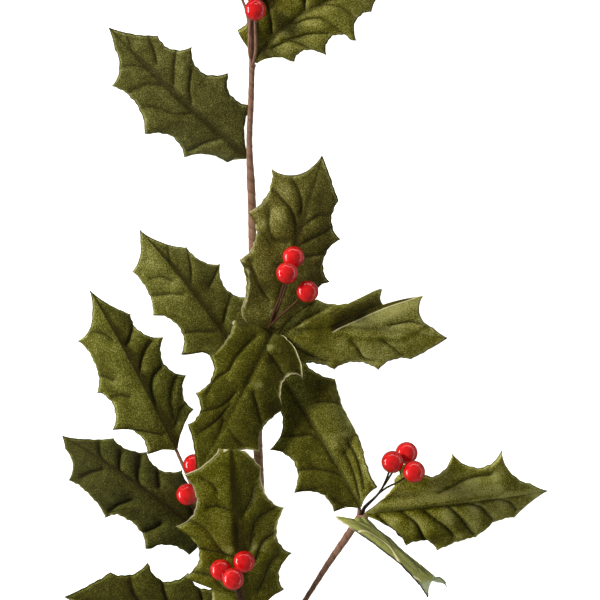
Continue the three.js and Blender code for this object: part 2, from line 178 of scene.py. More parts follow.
floorMesh = bpy.data.meshes.new("floor")
half = studio["floorHalf"]
corners = [(-half, -half, 0), (half, -half, 0), (half, half, 0), (-half, half, 0)]
floorMesh.from_pydata(corners, [], [(0, 1, 2, 3)])
floor = bpy.data.objects.new("floor", floorMesh)
scene.collection.objects.link(floor)
floor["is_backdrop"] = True
floorLook = bpy.data.materials.new("pale_table")
floorLook.use_nodes = True
tree = floorLook.node_tree
shader = tree.nodes["Principled BSDF"]
shader.inputs["Base Color"].default_value = studio["floorColor"]
shader.inputs["Roughness"].default_value = 0.9
shader.inputs["Specular IOR Level"].default_value = 0.1
shader.inputs["Emission Color"].default_value = (1, 1, 1, 1)
shader.inputs["Emission Strength"].default_value = studio["floorGlow"]
dim = node(tree, "ShaderNodeEmission", in_Strength=studio["floorGloss"])
either = tree.nodes.new("ShaderNodeMixShader")
tree.links.new(tree.nodes.new("ShaderNodeLightPath").outputs["Is Glossy Ray"], either.inputs[0])
tree.links.new(shader.outputs[0], either.inputs[1])
tree.links.new(dim.outputs[0], either.inputs[2])
tree.links.new(either.outputs[0], tree.nodes["Material Output"].inputs["Surface"])
floorMesh.materials.append(floorLook)
print("camera, light and floor are set")


# what the materials are made with
def srgb(r, g, b):
    # a colour as the eye reads it, 0 to 255, in the scene's linear light
    c = np.array([r, g, b]) / 255
    c = np.where(c < 0.04045, c / 12.92, ((c + 0.055) / 1.055) ** 2.4)
    return (*[float(v) for v in c], 1.0)


def newGroup(name, inputs, outputs):
    # an empty node group: inputs are (label, value) beside its Vector, outputs are labels of plain values
    g = bpy.data.node_groups.new(name, "ShaderNodeTree")
    g.interface.new_socket("Vector", in_out="INPUT", socket_type="NodeSocketVector")
    for label, value in inputs:
        g.interface.new_socket(label, in_out="INPUT", socket_type="NodeSocketFloat").default_value = value
    for label in outputs:
        g.interface.new_socket(label, in_out="OUTPUT", socket_type="NodeSocketFloat")
    return g, g.nodes.new("NodeGroupInput"), g.nodes.new("NodeGroupOutput")


def ramp(tree, value, stops):
    # colours between stops of (place from 0 to 1, colour)
    n = tree.nodes.new("ShaderNodeValToRGB")
    while len(n.color_ramp.elements) < len(stops):
        n.color_ramp.elements.new(0.5)
    for e, (at, colour) in zip(n.color_ramp.elements, stops):
        e.position = at
        e.color = colour
    tree.links.new(value, n.inputs[0])
    return n.outputs[0]


def mixColour(tree, share, a, b):
    # a times (1 - share) plus b times share
    n = node(tree, "ShaderNodeMix", data_type="RGBA")
    feed(tree, share, n.inputs[0])
    feed(tree, a, n.inputs[6])
    feed(tree, b, n.inputs[7])
    return n.outputs[2]


# uneven speckle in three sizes, out as one value round nought: noise scale, detail, roughness and distortion
grains = {"Fine": (1900, 3.0, 0.8, 0.0), "Middle": (330, 3.0, 0.6, 0.4), "Broad": (85, 2.0, 0.5, 0.3)}
speckle, gin, gout = newGroup("speckle", [(label, 1.0) for label in grains], ["Value", "Grain"])
layers = {}
for label, (scale, detail, roughness, distortion) in grains.items():
    grain = node(
        speckle, "ShaderNodeTexNoise",
        in_Scale=scale, in_Detail=detail, in_Roughness=roughness, in_Distortion=distortion,
    )
    speckle.links.new(gin.outputs["Vector"], grain.inputs["Vector"])
    layers[label] = maths(speckle, "SUBTRACT", grain.outputs["Fac"], 0.5)
total = times(speckle, layers["Fine"], gin.outputs["Fine"])
total = plus(speckle, total, times(speckle, layers["Middle"], gin.outputs["Middle"]))
total = plus(speckle, total, times(speckle, layers["Broad"], gin.outputs["Broad"]))
speckle.links.new(total, gout.inputs["Value"])
speckle.links.new(plus(speckle, layers["Fine"], 0.5), gout.inputs["Grain"])


def attribute(tree, name):
    # the value that a piece carries at each vertex under name
    return node(tree, "ShaderNodeAttribute", attribute_type="GEOMETRY", attribute_name=name).outputs["Fac"]


def useGroup(tree, group, vector, **values):
    # a group fed with coordinates and its own values
    n = tree.nodes.new("ShaderNodeGroup")
    n.node_tree = group
    tree.links.new(vector, n.inputs["Vector"])
    for name, value in values.items():
        n.inputs[name].default_value = value
    return n


def newMaterial(name, roughness, **sockets):
    # constants set on a Principled shader
    m = bpy.data.materials.new(name)
    m.use_nodes = True
    shader = m.node_tree.nodes["Principled BSDF"]
    shader.inputs["Roughness"].default_value = roughness
    for label, value in sockets.items():
        shader.inputs[label.replace("_", " ")].default_value = value
    return m, m.node_tree, shader


def addBump(tree, shader, height, strength, distance):
    # height from 0 to 1 tilts the normal as a relief of distance metres would
    bump = node(tree, "ShaderNodeBump", in_Strength=strength, in_Distance=distance)
    tree.links.new(height, bump.inputs["Height"])
    tree.links.new(bump.outputs[0], shader.inputs["Normal"])


velvet = {
    "stops": [
        (0.0, srgb(31, 27, 8)), (0.22, srgb(51, 47, 15)), (0.4, srgb(66, 63, 21)),
        (0.56, srgb(83, 81, 27)), (0.76, srgb(115, 113, 48)), (1.0, srgb(169, 168, 108)),
    ],
    "middle": 0.42,  # place on the stops of a tone of nought
    "toneShare": 0.5,
    "warmTurn": -0.01,  # turn of the hue for one of warmth
    # painted shade in the creases of the veins and along the rib
    "crease": srgb(38, 30, 15),
    "creaseShadeShare": 0.62,
    "veinShadeWidth": (-0.28, 0.28, 0.3),  # painted dark line: from, to and softness across a vein, mm
    "veinShadeShare": 0.65,
    # painted shade along the cut edge
    "edge_shade": srgb(40, 38, 20),
    "edgeShadeShare": 0.95,
    "back": srgb(176, 184, 146),
    # cream: the pale cut cloth, also the colour of painted highlights on edges and fold lips
    "cream": srgb(252, 241, 192),
    "lipWidth": (-0.3, 0.7, 0.35),  # the lip, a painted highlight in cream: from, to and softness across a fold, pixels
}

velvetLook, tree, shader = newMaterial(
    "flocked_velvet", 0.92,
    Sheen_Weight=0.06, Sheen_Roughness=0.45, Sheen_Tint=srgb(190, 200, 120), Specular_IOR_Level=0.12,
)
coords = tree.nodes.new("ShaderNodeTexCoord").outputs["Object"]
pile = useGroup(tree, speckle, coords, Fine=2.3, Middle=0.38, Broad=0.35)
# tone brings painted light and shade onto the stops, beside the pile's own speckle
toned = times(tree, attribute(tree, "tone"), velvet["toneShare"])
toned = plus(tree, plus(tree, pile.outputs["Value"], velvet["middle"]), toned)
# warm leaves lean to brown, the others to green
hue = node(tree, "ShaderNodeHueSaturation")
turn = times(tree, attribute(tree, "warm"), velvet["warmTurn"])
tree.links.new(plus(tree, turn, 0.5), hue.inputs["Hue"])
tree.links.new(attribute(tree, "rich"), hue.inputs["Saturation"])
tree.links.new(ramp(tree, toned, velvet["stops"]), hue.inputs["Color"])
# a thin painted dark line on each vein, for the shade in its groove
inked = window(tree, attribute(tree, "fine"), *velvet["veinShadeWidth"])
lip = window(tree, attribute(tree, "fold"), *velvet["lipWidth"])
colour = hue.outputs[0]
# painted shade in creases, on veins and at the cut edge; pale back; cream cut cloth and painted highlights
for share, over in (
    (times(tree, attribute(tree, "crease"), velvet["creaseShadeShare"]), "crease"),
    (times(tree, times(tree, inked, attribute(tree, "inked")), velvet["veinShadeShare"]), "crease"),
    (times(tree, attribute(tree, "edge_shade"), velvet["edgeShadeShare"]), "edge_shade"),
    (attribute(tree, "bare"), "back"),
    (times(tree, lip, attribute(tree, "lip")), "cream"),
    (attribute(tree, "rim"), "cream"),
):
    colour = mixColour(tree, share, colour, velvet[over])
tree.links.new(colour, shader.inputs["Base Color"])
addBump(tree, shader, pile.outputs["Grain"], 0.8, 0.0006)

backLook, tree, shader = newMaterial("cloth_back", 0.85, Specular_IOR_Level=0.2)
coords = tree.nodes.new("ShaderNodeTexCoord").outputs["Object"]
cloth = useGroup(tree, speckle, coords, Fine=0.5, Middle=0.4, Broad=0.3)
stops = [(0.0, srgb(118, 128, 96)), (0.5, srgb(158, 168, 134)), (1.0, srgb(188, 198, 168))]
colour = ramp(tree, plus(tree, cloth.outputs["Value"], 0.5), stops)
# painted shade in the creases
colour = mixColour(tree, times(tree, attribute(tree, "crease"), 0.4), colour, srgb(110, 116, 86))
tree.links.new(colour, shader.inputs["Base Color"])
addBump(tree, shader, cloth.outputs["Grain"], 0.4, 0.0003)

rimLook, tree, shader = newMaterial("cut_edge", 0.8, Specular_IOR_Level=0.2)
coords = tree.nodes.new("ShaderNodeTexCoord").outputs["Object"]
fray = useGroup(tree, speckle, coords, Fine=0.6, Middle=0.4, Broad=0.0)
stops = [(0.0, srgb(40, 38, 22)), (0.6, srgb(66, 62, 38)), (1.0, srgb(120, 116, 78))]
colour = ramp(tree, plus(tree, fray.outputs["Value"], 0.5), stops)
# cream where the edge catches the light: pale cut cloth and a painted highlight
colour = mixColour(tree, attribute(tree, "rim"), colour, velvet["cream"])
tree.links.new(colour, shader.inputs["Base Color"])

# tape wound round a stem: the UV runs in millimetres along it and once round it
tape, gin, gout = newGroup("wound_tape", [("Pitch", 6.0)], ["Seam", "Height"])
parts = tape.nodes.new("ShaderNodeSeparateXYZ")
tape.links.new(gin.outputs["Vector"], parts.inputs[0])
turns = plus(tape, maths(tape, "DIVIDE", parts.outputs[0], gin.outputs["Pitch"]), parts.outputs[1])
share = maths(tape, "FRACT", turns)
seam = maths(tape, "SUBTRACT", 1.0, window(tape, share, 0.1, 0.9, 0.1))
tape.links.new(seam, gout.inputs["Seam"])
ribs = maths(tape, "SINE", times(tape, turns, 2 * math.pi * 5))
tape.links.new(plus(tape, times(tape, share, 0.7), times(tape, ribs, 0.12)), gout.inputs["Height"])


def tapeMaterial(name, stops, seamColour, pitch, roughness):
    # speckled fibre with a dark seam at each turn of the tape, whose height slopes and ribs across a turn
    m, tree, shader = newMaterial(name, roughness, Specular_IOR_Level=0.25)
    coords = tree.nodes.new("ShaderNodeTexCoord")
    fibre = useGroup(tree, speckle, coords.outputs["Object"], Fine=0.5, Middle=0.5, Broad=0.4)
    wound = useGroup(tree, tape, coords.outputs["UV"], Pitch=pitch)
    colour = ramp(tree, plus(tree, fibre.outputs["Value"], 0.5), stops)
    colour = mixColour(tree, times(tree, wound.outputs["Seam"], 0.45), colour, seamColour)
    tree.links.new(colour, shader.inputs["Base Color"])
    height = plus(tree, wound.outputs["Height"], times(tree, fibre.outputs["Grain"], 0.5))
    addBump(tree, shader, height, 0.6, 0.0004)
    return m


tapes = {
    "brown_tape": {
        "stops": [(0.1, srgb(88, 60, 46)), (0.5, srgb(134, 101, 82)), (0.9, srgb(176, 142, 122))],
        "seamColour": srgb(88, 56, 46), "pitch": 6.0, "roughness": 0.75,
    },
    "wire_tape": {
        "stops": [(0.1, srgb(44, 24, 10)), (0.5, srgb(76, 48, 26)), (0.9, srgb(128, 88, 60))],
        "seamColour": srgb(40, 18, 12), "pitch": 3.0, "roughness": 0.5,
    },
    "black_wire": {
        "stops": [(0.1, srgb(14, 10, 8)), (0.5, srgb(30, 22, 18)), (0.9, srgb(64, 50, 42))],
        "seamColour": srgb(10, 8, 6), "pitch": 2.2, "roughness": 0.4,
    },
}
tapeLook, wireTapeLook, wireBlackLook = [tapeMaterial(name, **values) for name, values in tapes.items()]

berryLook, tree, shader = newMaterial(
    "red_lacquer", 0.22,
    Specular_IOR_Level=0.4, Coat_Weight=1.0, Coat_Roughness=0.05, Coat_Tint=(1.0, 0.8, 0.78, 1),
)
coords = tree.nodes.new("ShaderNodeTexCoord").outputs["Object"]
skin = useGroup(tree, speckle, coords, Fine=0.15, Middle=0.9, Broad=0.5)
stops = [(0.15, srgb(150, 10, 12)), (0.5, srgb(206, 20, 24)), (0.85, srgb(228, 44, 42))]
colour = ramp(tree, plus(tree, skin.outputs["Value"], 0.5), stops)
# painted shade in the dimple at each pole
colour = mixColour(tree, attribute(tree, "crease"), colour, srgb(90, 10, 10))
# painted shade: darker towards the rim, where the ball is seen along its face
facing = node(tree, "ShaderNodeLayerWeight", in_Blend=0.5).outputs["Facing"]
rimShade = times(tree, smoothStep(tree, facing, 0.5, 0.8), 0.75)
colour = mixColour(tree, rimShade, colour, srgb(96, 4, 10))
tree.links.new(colour, shader.inputs["Base Color"])
addBump(tree, shader, skin.outputs["Value"], 0.15, 0.0006)
print("materials are made")


# what the pieces are made with
def addPiece(
    name, nodeName, vertices, faces, looks, faceLooks=None, values=None, uv=None, sharp=None
):
    # vertices in millimetres; values are one number a vertex, uv one pair a vertex
    mesh = bpy.data.meshes.new(name)
    mesh.from_pydata((vertices * mm).tolist(), [], faces if isinstance(faces, list) else faces.tolist())
    for look in looks:
        mesh.materials.append(look)
    if faceLooks is not None:
        mesh.polygons.foreach_set("material_index", np.asarray(faceLooks, np.int32))
    mesh.polygons.foreach_set("use_smooth", np.ones(len(mesh.polygons), bool))
    for label, value in (values or {}).items():
        layer = mesh.attributes.new(label, "FLOAT", "POINT")
        layer.data.foreach_set("value", np.asarray(value, np.float32))
    if uv is not None:
        layer = mesh.uv_layers.new(name="UVMap")
        corners = np.zeros(len(mesh.loops), np.int32)
        mesh.loops.foreach_get("vertex_index", corners)
        layer.data.foreach_set("uv", np.asarray(uv, np.float32)[corners].ravel())
    if sharp is not None:  # edges whose two ends carry the same mark above nought
        ends = np.zeros(len(mesh.edges) * 2, np.int32)
        mesh.edges.foreach_get("vertices", ends)
        a, b = sharp[ends.reshape(-1, 2)].T
        layer = mesh.attributes.new("sharp_edge", "BOOLEAN", "EDGE")
        layer.data.foreach_set("value", (a > 0) & (a == b))
    mesh.update()
    piece = bpy.data.objects.new(name, mesh)
    scene.collection.objects.link(piece)
    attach(piece, "root")
    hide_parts(nodeName)


def seen(places):
    # places as the eye sees them in the measuring plane, to places on the table
    p = np.array(places, float)
    k = (eye - p[..., 2]) / (eye - plane)
    out = p.copy()
    out[..., 0] = p[..., 0] * k - centre[0]
    out[..., 1] = p[..., 1] * k - centre[1]
    return out


def pixels(p):
    # where places of the part fall in the 600 pixel picture, 2 pixels a millimetre in the measuring plane
    k = (eye - plane) / (eye - p[..., 2])
    return np.stack([300 + 2 * (p[..., 0] + centre[0]) * k, 300 - 2 * (p[..., 1] + centre[1]) * k], -1)


def lengths(p):
    # how far each place of a line lies along it
    return np.concatenate([[0], np.cumsum(np.linalg.norm(np.diff(p, axis=0), axis=1))])


def smoothLine(points, count):
    # curve through points, count places evenly spaced along it: between two points it is three rounds of
    # straight mixing over the four nearest, with knots the square roots of the chords apart
    p = np.array(points, float)
    if len(p) == 2:
        return p[0] + (p[1] - p[0]) * np.linspace(0, 1, count)[:, None]
    p = np.concatenate([[2 * p[0] - p[1]], p, [2 * p[-1] - p[-2]]])
    step = np.maximum(np.linalg.norm(np.diff(p, axis=0), axis=1) ** 0.5, 1e-6)
    knots = np.concatenate([[0], np.cumsum(step)])
    u = np.linspace(0, 1, 24, endpoint=False)
    runs = []
    for i in range(1, len(p) - 2):
        t0, t1, t2, t3 = knots[i - 1:i + 3]
        t = (t1 + (t2 - t1) * u)[:, None]
        a1 = (t1 - t) / (t1 - t0) * p[i - 1] + (t - t0) / (t1 - t0) * p[i]
        a2 = (t2 - t) / (t2 - t1) * p[i] + (t - t1) / (t2 - t1) * p[i + 1]
        a3 = (t3 - t) / (t3 - t2) * p[i + 1] + (t - t2) / (t3 - t2) * p[i + 2]
        b1 = (t2 - t) / (t2 - t0) * a1 + (t - t0) / (t2 - t0) * a2
        b2 = (t3 - t) / (t3 - t1) * a2 + (t - t1) / (t3 - t1) * a3
        runs.append((t2 - t) / (t2 - t1) * b1 + (t - t1) / (t2 - t1) * b2)
    line = np.concatenate([*runs, p[-2:-1]])
    far = lengths(line)
    want = np.linspace(0, far[-1], count)
    return np.stack([np.interp(want, far, line[:, i]) for i in range(line.shape[1])], -1)


# leaves: one flat blade, cut by one die and then bent
blade = {
    "length": 93.0,
    "thick": 0.7,
    "rootHalf": 1.2,  # half widths at the root and the tip
    "tipHalf": 0.3,
    "round": 0.85,  # how round the dips between spines are, lower is rounder
    "wave": 0.2,  # unevenness of the cut edge
    "hinge": 1.25,  # how the rows gather towards the root
    "curl": -20.0,  # degrees that a half turns down over curlOver
    "curlOver": 25,
    "puff": 2.6,  # height of the pillow between veins
    "settle": 0.4,  # share of it taken off everywhere
    "soft": 3.2,  # how far a vein draws the pillow down
    "pile": 0.88,  # how far painted light and shade follow the relief's turn to the light
    "step": 0.55,  # height of the step at a vein
    "rows": 18,  # rows between root and tip, each in so many steps
    "steps": 8,
}
# spines: along the rib and out from it; deep: dips between spines as shares of their chords; veins: their rows
die = {
    "left": {
        "spines": [(5, 13.8), (24.5, 24.1), (46, 25.1), (73.5, 20.3), (83.5, 5.4)],
        "deep": [0.1, 0.27, 0.28, 0.19, 0.2, 0.05], "veins": [1, 4, 8, 12, 15],
    },
    "right": {
        "spines": [(17, 19.3), (34.5, 24.1), (56, 22.3), (72.5, 15.1)],
        "deep": [0.1, 0.27, 0.26, 0.24, 0.03], "veins": [3, 6, 10, 13],
    },
}
# rib: places that draw the midrib from root to tip, as seen in the measuring plane; size: scale of the blade;
# warm, rich: hue and strength of its green; rimWidth: of the bright edge; bare: share of pale back
# in each half, fold: degrees at root, spines and tip; curl: degrees over curlOver; slide, wide: how each spine
# differs from the die; deep, veins: instead of the die's; skew: leans a dip; root: half width at the root;
# puff: scale of the relief; press: of its veins; band, ribShade, ridge: width and darkness of the painted
# shade along the rib, and painted light (above nought) and shade (below) beside it; rim: brightness of the
# cream edge, partly a painted highlight; tone: how light, partly painted light and shade from how the
# light falls on each half; creases: veins in pixels; flat: veins on the blade, mm;
# pleat, swell: number of the turned spine and how far its row swells
leaves = {
    "leaf_top_left": {
        "rich": 0.93, "rib": [[-26.4, 71.3, 12.5], [-62.5, 101, 26], [-95.5, 136, 8]],
        "left": {
            "fold": [-20, -50, -28, 2, -8, -10, -10], "slide": [-1.8, -2, -1.6, -1.1, -0.2],
            "wide": [1, 1.05, 1, 1, 1], "deep": [0.15, 0.2, 0.36, 0.2, 0.2, 0.05], "band": 1.7,
            "press": 0.7, "tone": 0.19,
            "creases": [
                [(149, 68), (135, 66), (121.8, 66)], [(161, 85), (149, 84), (138, 88), (130, 92)],
                [(193, 113), (177, 114), (153, 107), (143, 107.5)], [(218, 139), (205, 142), (188, 150)],
            ],
        },
        "right": {
            "fold": [0, 4, 8, 8, -2, -5], "slide": [-1, 0, 0.4, 0.5], "wide": [1.07, 1.06, 1.03, 1],
            "deep": [0.1, 0.25, 0.33, 0.24, 0.05], "band": 2.2, "press": 0.7, "tone": 0.18,
            "creases": [
                [(192, 103), (189.5, 88), (192, 70)], [(174, 89), (174, 70), (176.2, 52)],
                [(157, 63), (155, 53), (148, 37)], [(131, 50), (128.5, 40), (127.2, 31)],
            ],
        },
    },
    "leaf_top_right": {
        "warm": 0.5, "rich": 1.08,
        "rib": [[-22.4, 118.6, 12.5], [-17, 133, 11], [6, 152, 38], [48, 160, 20]], "size": 0.97,
        "left": {
            "fold": [6, 6, 10, 10, 10, 10, 10], "slide": [4, 2, 0, 0, 0], "wide": [1.17, 1, 1, 1, 1],
            "puff": 1.3, "tone": 0.37, "creases": [[(272, 34), (271, 20), (268, 6), (262, -8)]],
            "flat": [[(40, 0), (47, 11), (56, 22)], [(60, 0), (68, 8), (77, 15)]],
        },
        "right": {
            "fold": [-10, -15, -5, 5, -8, -10], "slide": [-3.5, 2, 4, 2.4],
            "wide": [0.91, 1.02, 1.1, 0.87], "deep": [0.1, 0.2, 0.3, 0.27, 0.1], "puff": 1.5, "press": 0.7,
            "tone": 0.54,
            "creases": [
                [(272, 48), (290, 41), (308, 46), (323, 52)], [(283, 40), (294, 38), (308, 34), (328, 33)],
                [(296, 24), (308, 19), (321, 18.5), (331, 24), (346, 35)],
                [(318, 4), (330, 5), (343, 9), (357, 19)],
            ],
            "flat": [[(70, 0), (76, 6), (84, 11)]],
        },
    },
    "leaf_crown": {
        "rib": [[-23.5, 166, 15], [-24, 205, 32], [-32, 256, 0.4]],
        "left": {"fold": [6, 8, 8, 6, 4, 4, 4], "tone": 0.15},
        "right": {"fold": [-6, -8, -8, -6, -4, -4], "tone": -0.05},
    },
    "leaf_crown_side": {
        "rib": [[-26, 162.5, 12], [-56, 189, 9], [-90, 219, 5]],
        "left": {"fold": [4, 4, 4, 6, 6, 4, 4], "tone": 0.1},
        "right": {"fold": [-4, -4, -2, -2, 0, 0], "tone": -0.1},
    },
    "leaf_single": {
        "rib": [[-27.5, -34, 11], [-48.5, 0, 32], [-80, 34.9, 15]],
        "left": {
            "fold": [-10, -18, -9, -16, -27, -25, -20], "slide": [5.3, 0.2, 7.2, 9.3, 5],
            "wide": [0.96, 1, 1, 1.02, 0.8], "deep": [0.1, 0.3, 0.28, 0.12, 0.15, 0.05], "band": 0.8,
            "ribLightShade": 0.12, "press": 0.75, "tone": 0.25,
            "creases": [
                [(184, 294), (170, 294), (154.5, 295)], [(215, 332), (194, 331.5), (182.5, 333)],
                [(172, 281), (163, 277), (150, 279)],
            ],
        },
        "right": {
            "fold": [-5, -8, -20, -28, -38, -30], "slide": [-2, -6.6, -3.2, -0.4],
            "wide": [1, 1.03, 1.09, 1.08], "deep": [0.1, 0.27, 0.33, 0.2, 0.15], "band": 2.4,
            "ribLightShade": -0.3, "press": 0.6, "tone": 0.22,
            "creases": [
                [(191, 281), (190, 268), (188, 256), (187, 249)], [(209, 287), (213, 279), (217.5, 268)],
                [(223, 323), (225.5, 310), (229, 297.5)], [(170, 262), (168, 254), (167.5, 247)],
            ],
        },
    },
    "leaf_upper_up": {
        "warm": 1.2, "rib": [[-15, -16.5, 29.5], [-2, 30, 52], [11, 72, 40]],
        "left": {
            "fold": [0, 0, 2, -2, 0, 0, 0], "slide": [4.0, 7.6, 9.9, 6.7, 2.6],
            "wide": [1.22, 1.01, 1.07, 1.1, 0.6], "deep": [-0.22, 0.12, 0.25, 0.17, 0.2, 0.05],
            "puff": 1.15, "root": 4.0, "press": 0.7, "tone": 0.27,
            "creases": [
                [(301, 215), (302, 202), (298, 188.5), (291.5, 178.5)],
                [(296.5, 222), (292, 210), (283, 199), (274, 190)],
                [(287, 243), (276, 240), (269.5, 228), (270, 210)],
                [(270, 300), (263, 290), (255, 274), (251, 262)],
            ],
        },
        "right": {
            "fold": [-15, -18, -19, -14, -14, -10], "slide": [2.9, -2.6, -0.1, 1.8],
            "deep": [0.1, 0.27, 0.28, 0.22, 0], "puff": 0.9, "root": 4.5, "press": 0.65, "tone": 0.18,
            "creases": [
                [(303.6, 225.7), (312.9, 218.6), (320, 215), (329, 215.7)],
                [(300, 245), (308.6, 240), (325.7, 231.4), (333, 225)],
                [(297, 258), (305.7, 257), (311.4, 255.7), (323, 253)],
            ],
        },
    },
    "leaf_upper_right": {
        "warm": 0.4, "rich": 1.08, "rib": [[-11, -14.5, 26.5], [30, -12, 38], [73.5, -19, 32]],
        "left": {
            "fold": [-10, -15, -34, -28, 22, 20, 20], "slide": [2, -5, 9.6, 3, 1],
            "wide": [1, 0.75, 1, 0.95, 0.8], "veins": [1, 3, 5, 8, 14], "pleat": 3, "swell": 2.3,
            "skew": [1, 1, 1, 0.58, 1, 1], "deep": [0.05, 0.05, 0.2, 0.46, 0.26, 0.05], "ribShade": 0.3,
            "root": 4.0, "tone": 0.85, "flat": [[(8, 0), (14, 5), (22, 10)], [(62, 3), (74, 6), (82, 4)]],
        },
        "right": {
            "fold": [-10, -10, -21, -20, -26, -15], "slide": [-8, -4.7, 1, 2.9],
            "deep": [-0.1, 0.12, 0.17, 0.15, 0], "ribShade": 0.3, "root": 3.0, "tone": 0.55,
            "creases": [
                [(287, 338), (295, 346), (311, 355), (326, 361)],
                [(352, 342), (357.5, 347.5), (364, 357.5), (374, 361)],
                [(385, 342), (393, 348), (402, 355)],
            ],
        },
    },
    "leaf_upper_down": {
        "rich": 1.07, "rib": [[-14, -16, 28.5], [-16, -22, 58], [-28, -48, 44], [-51.5, -86, 35]],
        "rimWidth": 0.6,
        "left": {
            "fold": [-5, -5, -19, -23, -4, -4, -4], "slide": [-1, -9, -1.3, -5.3, 3],
            "wide": [0.55, 1.07, 1.07, 1.06, 1.2], "deep": [0, -0.06, 0.35, 0.26, 0.2, 0.08],
            "ribShade": 0.35, "root": 3.0, "press": 0.75, "tone": 0.1,
            "creases": [
                [(262, 348), (273, 359), (284, 377)], [(252.8, 392), (256, 404), (261.7, 430)],
                [(229.4, 430), (238, 441), (246, 450)],
            ],
        },
        "right": {
            "fold": [10, 5, 0, 4, 0, 0], "slide": [-9.4, 0.5, 0.9, 1.4], "wide": [1.05, 0.95, 0.92, 1.07],
            "deep": [-0.2, 0.1, 0.22, 0.25, 0.04], "ribShade": 0.35, "root": 4.0, "press": 0.8,
            "tone": 0.05,
            "creases": [
                [(256, 336.7), (247.2, 344.4), (232.8, 362.2), (229.4, 370), (216, 379), (207, 394)],
                [(236, 392), (227, 402), (217.8, 407.8), (202.8, 411)],
                [(230, 405), (223.9, 412), (215, 422), (199, 433)],
                [(222.8, 416.7), (220.5, 432), (221.7, 451)],
            ],
        },
    },
    "leaf_right_up": {
        "rich": 1.06, "rib": [[30, -103.6, 26], [7.5, -62.5, 33], [-18.6, -25.6, 13.5]],
        "left": {
            "fold": [-10, -15, 2, 2, -2, -2, 0], "slide": [-1.3, -1.3, 2.4, 0, 0],
            "wide": [0.95, 1.03, 1, 0.6, 0.8], "deep": [0.1, 0.27, 0.3, 0.3, 0.2, 0.08], "tone": 0.13,
            "creases": [
                [(321.3, 439.4), (310.2, 435), (295.8, 436), (282.4, 437.2)],
                [(345.8, 474), (330.2, 471.7), (314.7, 469.4), (300.2, 469.4)],
                [(355.8, 510.6), (344.7, 505), (334.7, 499.4)], [(307, 400), (296, 392), (287, 388)],
            ],
        },
        "right": {
            "fold": [30, 40, 10, 10, 0, 0], "curl": [-60, -60, -112, -60, -30, -20],
            "slide": [-11.4, 0, 5.8, 3.3], "wide": [0.72, 1, 1.04, 0.95],
            "deep": [0.1, 0.14, 0.1, 0.15, 0.05], "tone": 0.35,
            "creases": [
                [(344.7, 452.8), (351.3, 466), (354.7, 477), (360, 498)],
                [(348, 441.7), (355.8, 455), (361, 472), (364, 488)], [(318, 402), (330, 402), (340, 405)],
            ],
        },
    },
    "leaf_right_out": {
        "warm": 0.4, "rich": 1.14, "rib": [[33, -107, 27], [77.5, -103, 41], [123.5, -95.5, 0.65]],
        "left": {
            "fold": [4, 4, 8, 8, 6, 6, 6], "slide": [3, -2.5, -3, -4.7, -1], "wide": [0.45, 1, 1, 1.16, 1],
            "deep": [0.03, 0.1, 0.44, 0.3, 0.2, 0.05], "puff": 2.2, "ribShade": 0.2, "press": 0.6,
            "tone": 0.7, "creases": [[(440, 492), (448.6, 487.9), (468.6, 477.9), (488.6, 475)]],
        },
        "right": {
            "fold": [-15, -18, -18, -28, -40, -30], "slide": [0, -1.9, 0, 6.8],
            "wide": [1, 1.03, 1.02, 1.05], "deep": [0.1, 0.27, 0.08, 0.19, 0.16], "puff": 2.7,
            "ribShade": 0.6, "ribLightShade": -0.25, "tone": 0.5,
            "creases": [
                [(378, 517), (388.6, 530.7), (395.7, 540.7)],
                [(400, 512), (417, 525), (422.9, 536.4), (431.4, 546.4)],
                [(425, 512), (435.7, 520), (448.6, 530), (452, 533.6)],
                [(447, 503), (458.6, 516.4), (468.6, 529.3), (472.9, 533.6)],
                [(465, 500), (481.4, 508), (488.6, 516.4), (491.4, 519.3)],
                [(490, 497), (508.6, 502), (515.7, 509.3)],
            ],
        },
    },
    "leaf_right_down": {
        "rib": [[33.5, -109, 30], [36, -115, 62], [60, -130.5, 74], [73.5, -143.5, 42]], "size": 0.9,
        "warm": -0.6, "rich": 1.4, "bare": 0.22,
        "left": {
            "fold": [-95, -95, -98, -98, -148, -125, -60], "curl": [0, 0, 0, 0, 0, 0, 0],
            "slide": [0, 0, 0, 6, 3], "wide": [1, 1, 1, 0.6, 0.7],
            "deep": [0.1, 0.27, 0.28, 0.15, 0.2, 0.1], "tone": 0.6,
        },
        "right": {
            "fold": [40, 48, 70, 74, 42, 20], "curl": [0, 0, 0, 0, 0, 0], "slide": [-7, -3, -4, 0],
            "deep": [0.1, 0.12, 0.1, 0.1, 0.36], "tone": 1.15,
            "flat": [[(0, 4), (20, 4), (45, 3.5), (70, 3)], [(0, 8), (20, 9), (45, 8)]],
        },
    },
    "leaf_left_up": {
        "warm": -0.4, "rich": 1.03, "rib": [[-62.1, -74.7, 21], [-82.5, -33, 38], [-105, 4.6, 18]],
        "left": {
            "fold": [0, 0, 6, -19, -18, -20, -20], "slide": [-0.9, -1, -1.6, 2.6, -1.2],
            "wide": [1, 1, 1.02, 1.01, 1], "deep": [0.1, 0.27, 0.3, 0.17, 0.2, 0.08], "band": 0.6,
            "ribLightShade": 0.2, "tone": 0.33,
            "creases": [
                [(112.5, 340), (105, 334.4), (92, 332)], [(113.8, 380), (107.5, 377.5), (97.3, 375.3)],
                [(130, 397), (120, 395.6), (112.5, 397)],
                [(163, 435), (147.5, 432), (130, 430.6), (113, 430)],
            ],
        },
        "right": {
            "fold": [-15, -23, -19, -17, -35, -30], "slide": [-4.6, -4.1, -2, 1.4],
            "wide": [0.98, 0.98, 0.98, 0.97], "deep": [0.1, 0.25, 0.32, 0.27, 0.1], "band": 3.2,
            "ribLightShade": -0.35, "tone": 0.17,
            "creases": [
                [(127, 345), (130.5, 335), (133, 325)],
                [(140, 372), (141.3, 360), (146.3, 348.8), (152, 341)],
                [(156, 404), (152, 391), (152.5, 377.5), (160.6, 367)],
